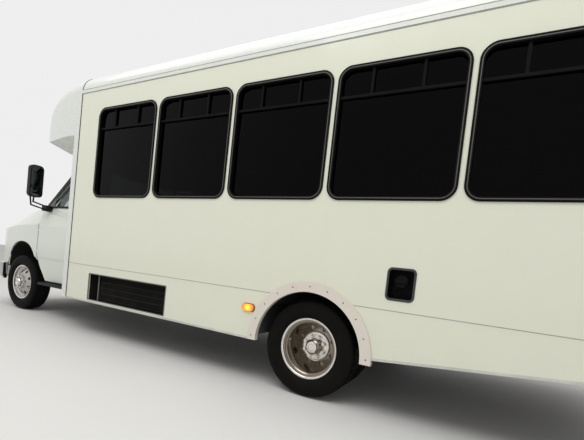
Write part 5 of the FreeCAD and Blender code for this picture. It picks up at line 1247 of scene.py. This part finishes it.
def makeRear():
    look = {"x": -3.7055, "lampY": (-1.0, 1.0), "reflectorZ": 0.8, "panes": ((1.548, 2.312), (1.028, 1.452)),
            "lamps": ((0.96, "clearLens", "lamp_clear"), (1.08, "amberLens", "lamp_amber"),
                      (1.2, "redLens", "lamp_red")),
            "grommet": [(0.0, 0.0525), (0.0, 0.061), (0.006, 0.0618), (0.0108, 0.0588), (0.0112, 0.0525),
                        (0.0, 0.0525)],
            "lens": [(0.01, 0.0004), (0.01, 0.0522), (0.0168, 0.0522), (0.0186, 0.0495), (0.0192, 0.044),
                     (0.0187, 0.0425), (0.0188, 0.0415), (0.0202, 0.03), (0.0197, 0.0285), (0.0212, 0.016),
                     (0.0216, 0.0004)],
            "reflector": [(0.0, 0.0004), (0.0, 0.038), (0.006, 0.038), (0.008, 0.035), (0.0076, 0.0004)]}
    out, grommets = (-1, 0, 0), []

    def rounds(name, z, steps=40):
        return [turned(name, look[name], (look["x"], y, z), out, steps) for y in look["lampY"]]

    for z, material, slot in look["lamps"]:
        grommets += rounds("grommet", z)
        dress(joined("tailLens%d" % round(z * 100), rounds("lens", z)), material)
    dress(joined("lampGrommets", grommets), "gasketRubber")
    dress(joined("rearReflectors", rounds("reflector", look["reflectorZ"], 32)), "redLens")
    seals = [newRing("seal", (-3.713, -0.352, low), (-3.7085, 0.352, high), 0, 0.072, 0.024, 8, 0.0015)
             for low, high in look["panes"]]
    dress(joined("rearDoorSeals", seals), "gasketRubber", "rear_door")
    plate = roundedBox("plate", (-3.7125, 0.358, 1.415), (-3.7085, 0.402, 1.585), 0, 0.014, 4)
    grip = roundedBox("grip", (-3.7425, 0.367, 1.457), (-3.7115, 0.393, 1.543), 1, 0.012, 4)
    lock = turned("lock", [(-0.002, 0.0004), (-0.002, 0.011), (0.006, 0.011), (0.0075, 0.009), (0.007, 0.0004)],
                  (-3.7115, 0.38, 1.437), out, 20)
    latch = smooth(bevelEdges(joined("rearDoorLatch", [plate, grip, lock]), 0.0022))
    dress(latch, "blackPlastic", "rear_door")
    rib = newBox("bumperTread", (-3.79, -1.165, 0.5995), (-3.783, 1.165, 0.6035), 0.0012)
    dress(repeated(rib, 5, (0.018, 0, 0)), "treadAluminium")
    lamp = newBox("plateLamp", (-3.722, -0.045, 0.833), (-3.7055, 0.045, 0.846))
    pickSide(lamp, 2, 1)
    bpy.ops.mesh.inset(thickness=0.003)
    extrude((0.002, 0, 0.002))
    editDone()
    dress(bevelEdges(lamp, 0.002, 2, 40), "blackPlastic")


makeRear()
print("rear ready")


# Entry door: glazing rings, rubber edges, step nosings

def makeEntry():
    look = {"window": ((1.004, 0.494), (1.326, 2.308)), "faces": (-1.2195, -1.1825), "thick": 0.004, "corner": 0.046,
            "width": 0.018, "edgeY": (-1.2187, -1.1793), "edgeZ": (0.392, 2.362),
            "leaves": {"front": (0, 0.9458), "rear": (-0.44, 0.928)}, "edgeWidth": 0.0162,
            "nosings": ((-1.168, 0.4), (-0.95, 0.625), (-0.7495, 0.848))}
    (x0, z0), (x1, z1) = look["window"]
    rings = joined("rings", [newRing("ring", (x0, y, z0), (x1, y + look["thick"], z1), 1, look["corner"],
                                     look["width"], 6, 0.0012) for y in look["faces"]])
    for name, (move, edge) in look["leaves"].items():
        (lowY, highY), (lowZ, highZ) = look["edgeY"], look["edgeZ"]
        parts = [copied(rings, "ring", (move, 0, 0)),
                 newBox("strip", (edge, lowY, lowZ), (edge + look["edgeWidth"], highY, highZ), 0.0025, 3),
                 newBox("sweep", (0.96 + move, -1.214, 0.3845), (1.34 + move, -1.186, 0.3935), 0.002)]
        dress(joined("entryRubber" + name.title(), parts), "gasketRubber", "entry_leaf_" + name)
    removed(rings)
    nosings = []
    for y, z in look["nosings"]:
        top = newBox("top", (0.4985, y, z - 0.001), (1.3915, y + 0.045, z + 0.0032))
        rib = newBox("rib", (0.4995, y + 0.006, z + 0.003), (1.3905, y + 0.01, z + 0.0045))
        nosings += [top, repeated(rib, 4, (0, 0.0095, 0))]
    dress(bevelEdges(joined("stepNosings", nosings), 0.0006, 1), "nosingYellow")
    treads = []
    for _, side in sides:
        low, high = sorted((side * 0.915, side * 1.068))
        rib = newBox("rib", (1.65, low, 0.4315), (1.656, high, 0.4345), 0.001, 1)
        edge = newBox("edge", (1.626, side * 1.0755 - 0.002, 0.402), (2.394, side * 1.0755 + 0.002, 0.4305), 0.0015)
        treads += [repeated(rib, 37, (0.0195, 0, 0)), edge]
    dress(joined("boardTreads", treads), "blackPlastic")


makeEntry()
print("entry ready")


# Saloon: rails, screens, ceiling lights, aisle strip

def makeSaloon():
    look = {"post": 0.0155, "rail": 0.0145, "posts": ((0.445, -0.64), (1.452, -0.64)), "barY": (-0.36, 0.36),
            "lightX": (-2.9, -2.0, -1.1, -0.2, 0.7), "lightY": 0.46, "lightHalf": (0.23, 0.055), "floor": 0.85}
    rails, screens, lights = [], [], []

    def roofOver(x, y):
        return hitOn("roof", (x, y, 1.5), (0, 0, 1))[0].z

    for x, y in look["posts"]:
        top = roofOver(x, y)
        rails.append(newRod("post", (x, y, look["floor"]), (x, y, top), look["post"], 20))
        for z, side in ((look["floor"], 1), (top, -1)):
            rails.append(turnedTo(newRod("foot", (0, 0, 0), (0, 0, side * 0.012), 0.032, 24, 0.024), (x, y, z)))
        rails.append(newPipe("rail", [(x, y, 1.62), (x, y - 0.06, 1.66), (x, -1.17, 1.66)], look["rail"], 0.03))
        panel = roundedBox("panel", (x - 0.006, -1.165, 0.905), (x + 0.006, y - 0.022, 1.6), 0, 0.04)
        pickSide(panel, 0)
        bpy.ops.mesh.inset(thickness=0.012)
        sinkFaces(0.0025)
        screens.append(panel)
    for y in look["barY"]:
        top = roofOver(-1.0, y)
        rails.append(newPipe("bar", [(-3.3, y, top - 0.002), (-3.26, y, top - 0.1), (1.3, y, top - 0.1),
                                     (1.34, y, top - 0.002)], look["rail"], 0.05))
    dress(joined("grabRails", rails), "brightTrim")
    dress(joined("entryScreens", screens), "dashPlastic")
    halfX, halfY = look["lightHalf"]
    for x in look["lightX"]:
        for y in (look["lightY"], -look["lightY"]):
            top = roofOver(x, y)
            lights.append(domedBox("light", (x - halfX, y - halfY, top - 0.022), (x + halfX, y + halfY, top + 0.004),
                                   2, -1, 0.02, 0.006, 0.003))
    dress(joined("ceilingLights", lights), "clearLens")
    strip = newBox("aisleStrip", (-3.5, -0.215, look["floor"] - 0.001), (1.5, 0.215, look["floor"] + 0.0022))
    dress(raiseFace(strip, 2, 1, (0.012, 0.0012)), "stepRubber")


makeSaloon()
print("saloon ready")


# Dashboard

def makeDash():
    look = {"gaugeY": (0.36, 0.5), "ventY": (-0.7, -0.16, 0.14, 0.72), "knobY": (-0.085, 0.085),
            "gauge": [(0.0, 0.0004), (0.0, 0.033), (0.008, 0.034), (0.01, 0.032), (0.005, 0.029), (0.004, 0.0004)],
            "knob": [(0.0, 0.0004), (0.0, 0.013), (0.014, 0.011), (0.015, 0.0004)]}
    out = (-1, 0, 0)
    parts = [bevelEdges(roundedBox("hood", (2.245, 0.26, 1.255), (2.36, 0.6, 1.3), 2, 0.05), 0.01, 3),
             newRing("bezel", (2.252, 0.27, 1.185), (2.262, 0.59, 1.262), 0, 0.03, 0.012, 5)]
    parts += [turned("gauge", look["gauge"], (2.2745, y, 1.222), out, 28) for y in look["gaugeY"]]
    for y in look["ventY"]:
        slat = newBox("slat", (2.265, y - 0.046, 1.213), (2.274, y + 0.046, 1.2155))
        parts += [newRing("vent", (2.262, y - 0.05, 1.205), (2.274, y + 0.05, 1.255), 0, 0.012, 0.006, 4),
                  repeated(slat, 4, (0, 0, 0.0098))]
    radio = roundedBox("radio", (2.268, -0.105, 1.115), (2.3, 0.105, 1.185), 0, 0.01, 4)
    parts.append(raiseFace(radio, 0, -1, (0.006, -0.003)))
    parts += [turned("knob", look["knob"], (2.27, y, 1.15), out, 18) for y in look["knobY"]]
    parts.append(roundedBox("gloveBox", (2.292, -0.72, 1.075), (2.318, -0.34, 1.165), 0, 0.02, 4))
    dress(smooth(bevelEdges(joined("dashTrim", parts), 0.0015)), "blackPlastic")


makeDash()
print("dashboard ready")


# Engine bay and springs

def makeEngineBay():
    look = {"fan": (3.36, 0, 0.8), "shroud": 0.235, "blades": 7, "duct": 0.038, "hose": 0.022, "bend": 0.05,
            "hub": [(-0.1, 0.0004), (-0.1, 0.05), (0.03, 0.055), (0.05, 0.04), (0.055, 0.0004)]}
    cover = roundedBox("cover", (2.72, -0.2, 1.018), (3.19, 0.2, 1.075), 2, 0.05)
    rib = newBox("rib", (2.77, -0.13, 1.085), (3.14, -0.118, 1.097))
    (x, y, z), r, out = look["fan"], look["shroud"], (1, 0, 0)
    parts = [raiseFace(cover, 2, 1, (0.025, 0.018), (0.012, -0.006)), repeated(rib, 6, (0, 0.0495, 0)),
             turned("shroud", [(0.0, r), (0.0, r + 0.006), (0.1, r + 0.006), (0.115, r + 0.03), (0.12, r + 0.03),
                               (0.105, r), (0.0, r)], look["fan"], out, 48),
             turned("hub", look["hub"], look["fan"], out, 32)]
    blade = newBox("blade", (-0.018, -0.035, 0.045), (0.018, 0.035, r - 0.012))
    for vertex in blade.data.vertices:
        vertex.co.x *= math.copysign(1, vertex.co.y)
    bevelEdges(blade, 0.004, 2, 20)
    for index in range(look["blades"]):
        turn = 2 * math.pi * index / look["blades"]
        parts.append(turnedTo(copied(blade, "blade"), (x + 0.02, y, z), (turn, 0, 0)))
    removed(blade)
    parts += [roundedBox("airBox", (2.86, -0.54, 0.955), (3.16, -0.3, 1.095), 2, 0.04),
              newBox("tray", (2.84, -0.575, 0.945), (3.18, -0.28, 0.957)),
              newPipe("duct", [(3.15, -0.42, 1.03), (3.28, -0.42, 1.03), (3.33, -0.16, 1.05), (3.15, -0.06, 1.05)],
                      look["duct"], look["bend"], 3),
              newPipe("upperHose", [(3.18, 0.1, 1.0), (3.3, 0.13, 1.04), (3.42, 0.24, 1.04), (3.5, 0.26, 1.0)],
                      look["hose"], look["bend"], 3)]
    dress(smooth(bevelEdges(joined("engineDress", parts), 0.003, 2, 55)), "blackPlastic")
    parts = [newBox("case", (2.9, 0.355, 0.957), (3.14, 0.53, 1.11)),
             newBox("lid", (2.896, 0.351, 1.105), (3.144, 0.534, 1.128)),
             newBox("tray", (2.88, 0.28, 0.945), (3.16, 0.575, 0.958)),
             newPipe("lead", [(2.94, 0.4, 1.142), (2.9, 0.36, 1.15), (2.86, 0.28, 1.09), (2.84, 0.2, 1.05)], 0.006,
                     0.03)]
    parts += [newRod("post", (x, 0.4, 1.126), (x, 0.4, 1.145), 0.01, 16, 0.008) for x in (2.94, 3.1)]
    dress(bevelEdges(joined("battery", parts), 0.004), "stepRubber")


def makeSprings():
    look = {"radius": 0.0545, "wire": 0.0065, "low": 0.428, "turns": 5, "pitch": 0.0315, "y": 0.58, "steps": 28}
    coils = []
    for _, side in sides:
        wire = newRod("wire", (look["radius"], 0, look["low"]), (look["radius"], 0.0001, look["low"]), look["wire"], 10)
        pickSide(wire, 1, -1)
        bpy.ops.mesh.select_all(action="INVERT")
        bpy.ops.mesh.delete(type="FACE")
        editDone()
        modify(wire, "SCREW", axis="Z", screw_offset=look["pitch"], iterations=look["turns"], steps=look["steps"],
               render_steps=look["steps"])
        coils.append(turnedTo(wire, (places["frontAxleX"], side * look["y"], 0)))
    springs = joined("frontSprings", coils)
    editAll(springs)
    fixNormals()
    dress(smooth(springs, 50), "chassisPaint")


makeEngineBay()
makeSprings()
print("engine bay ready")
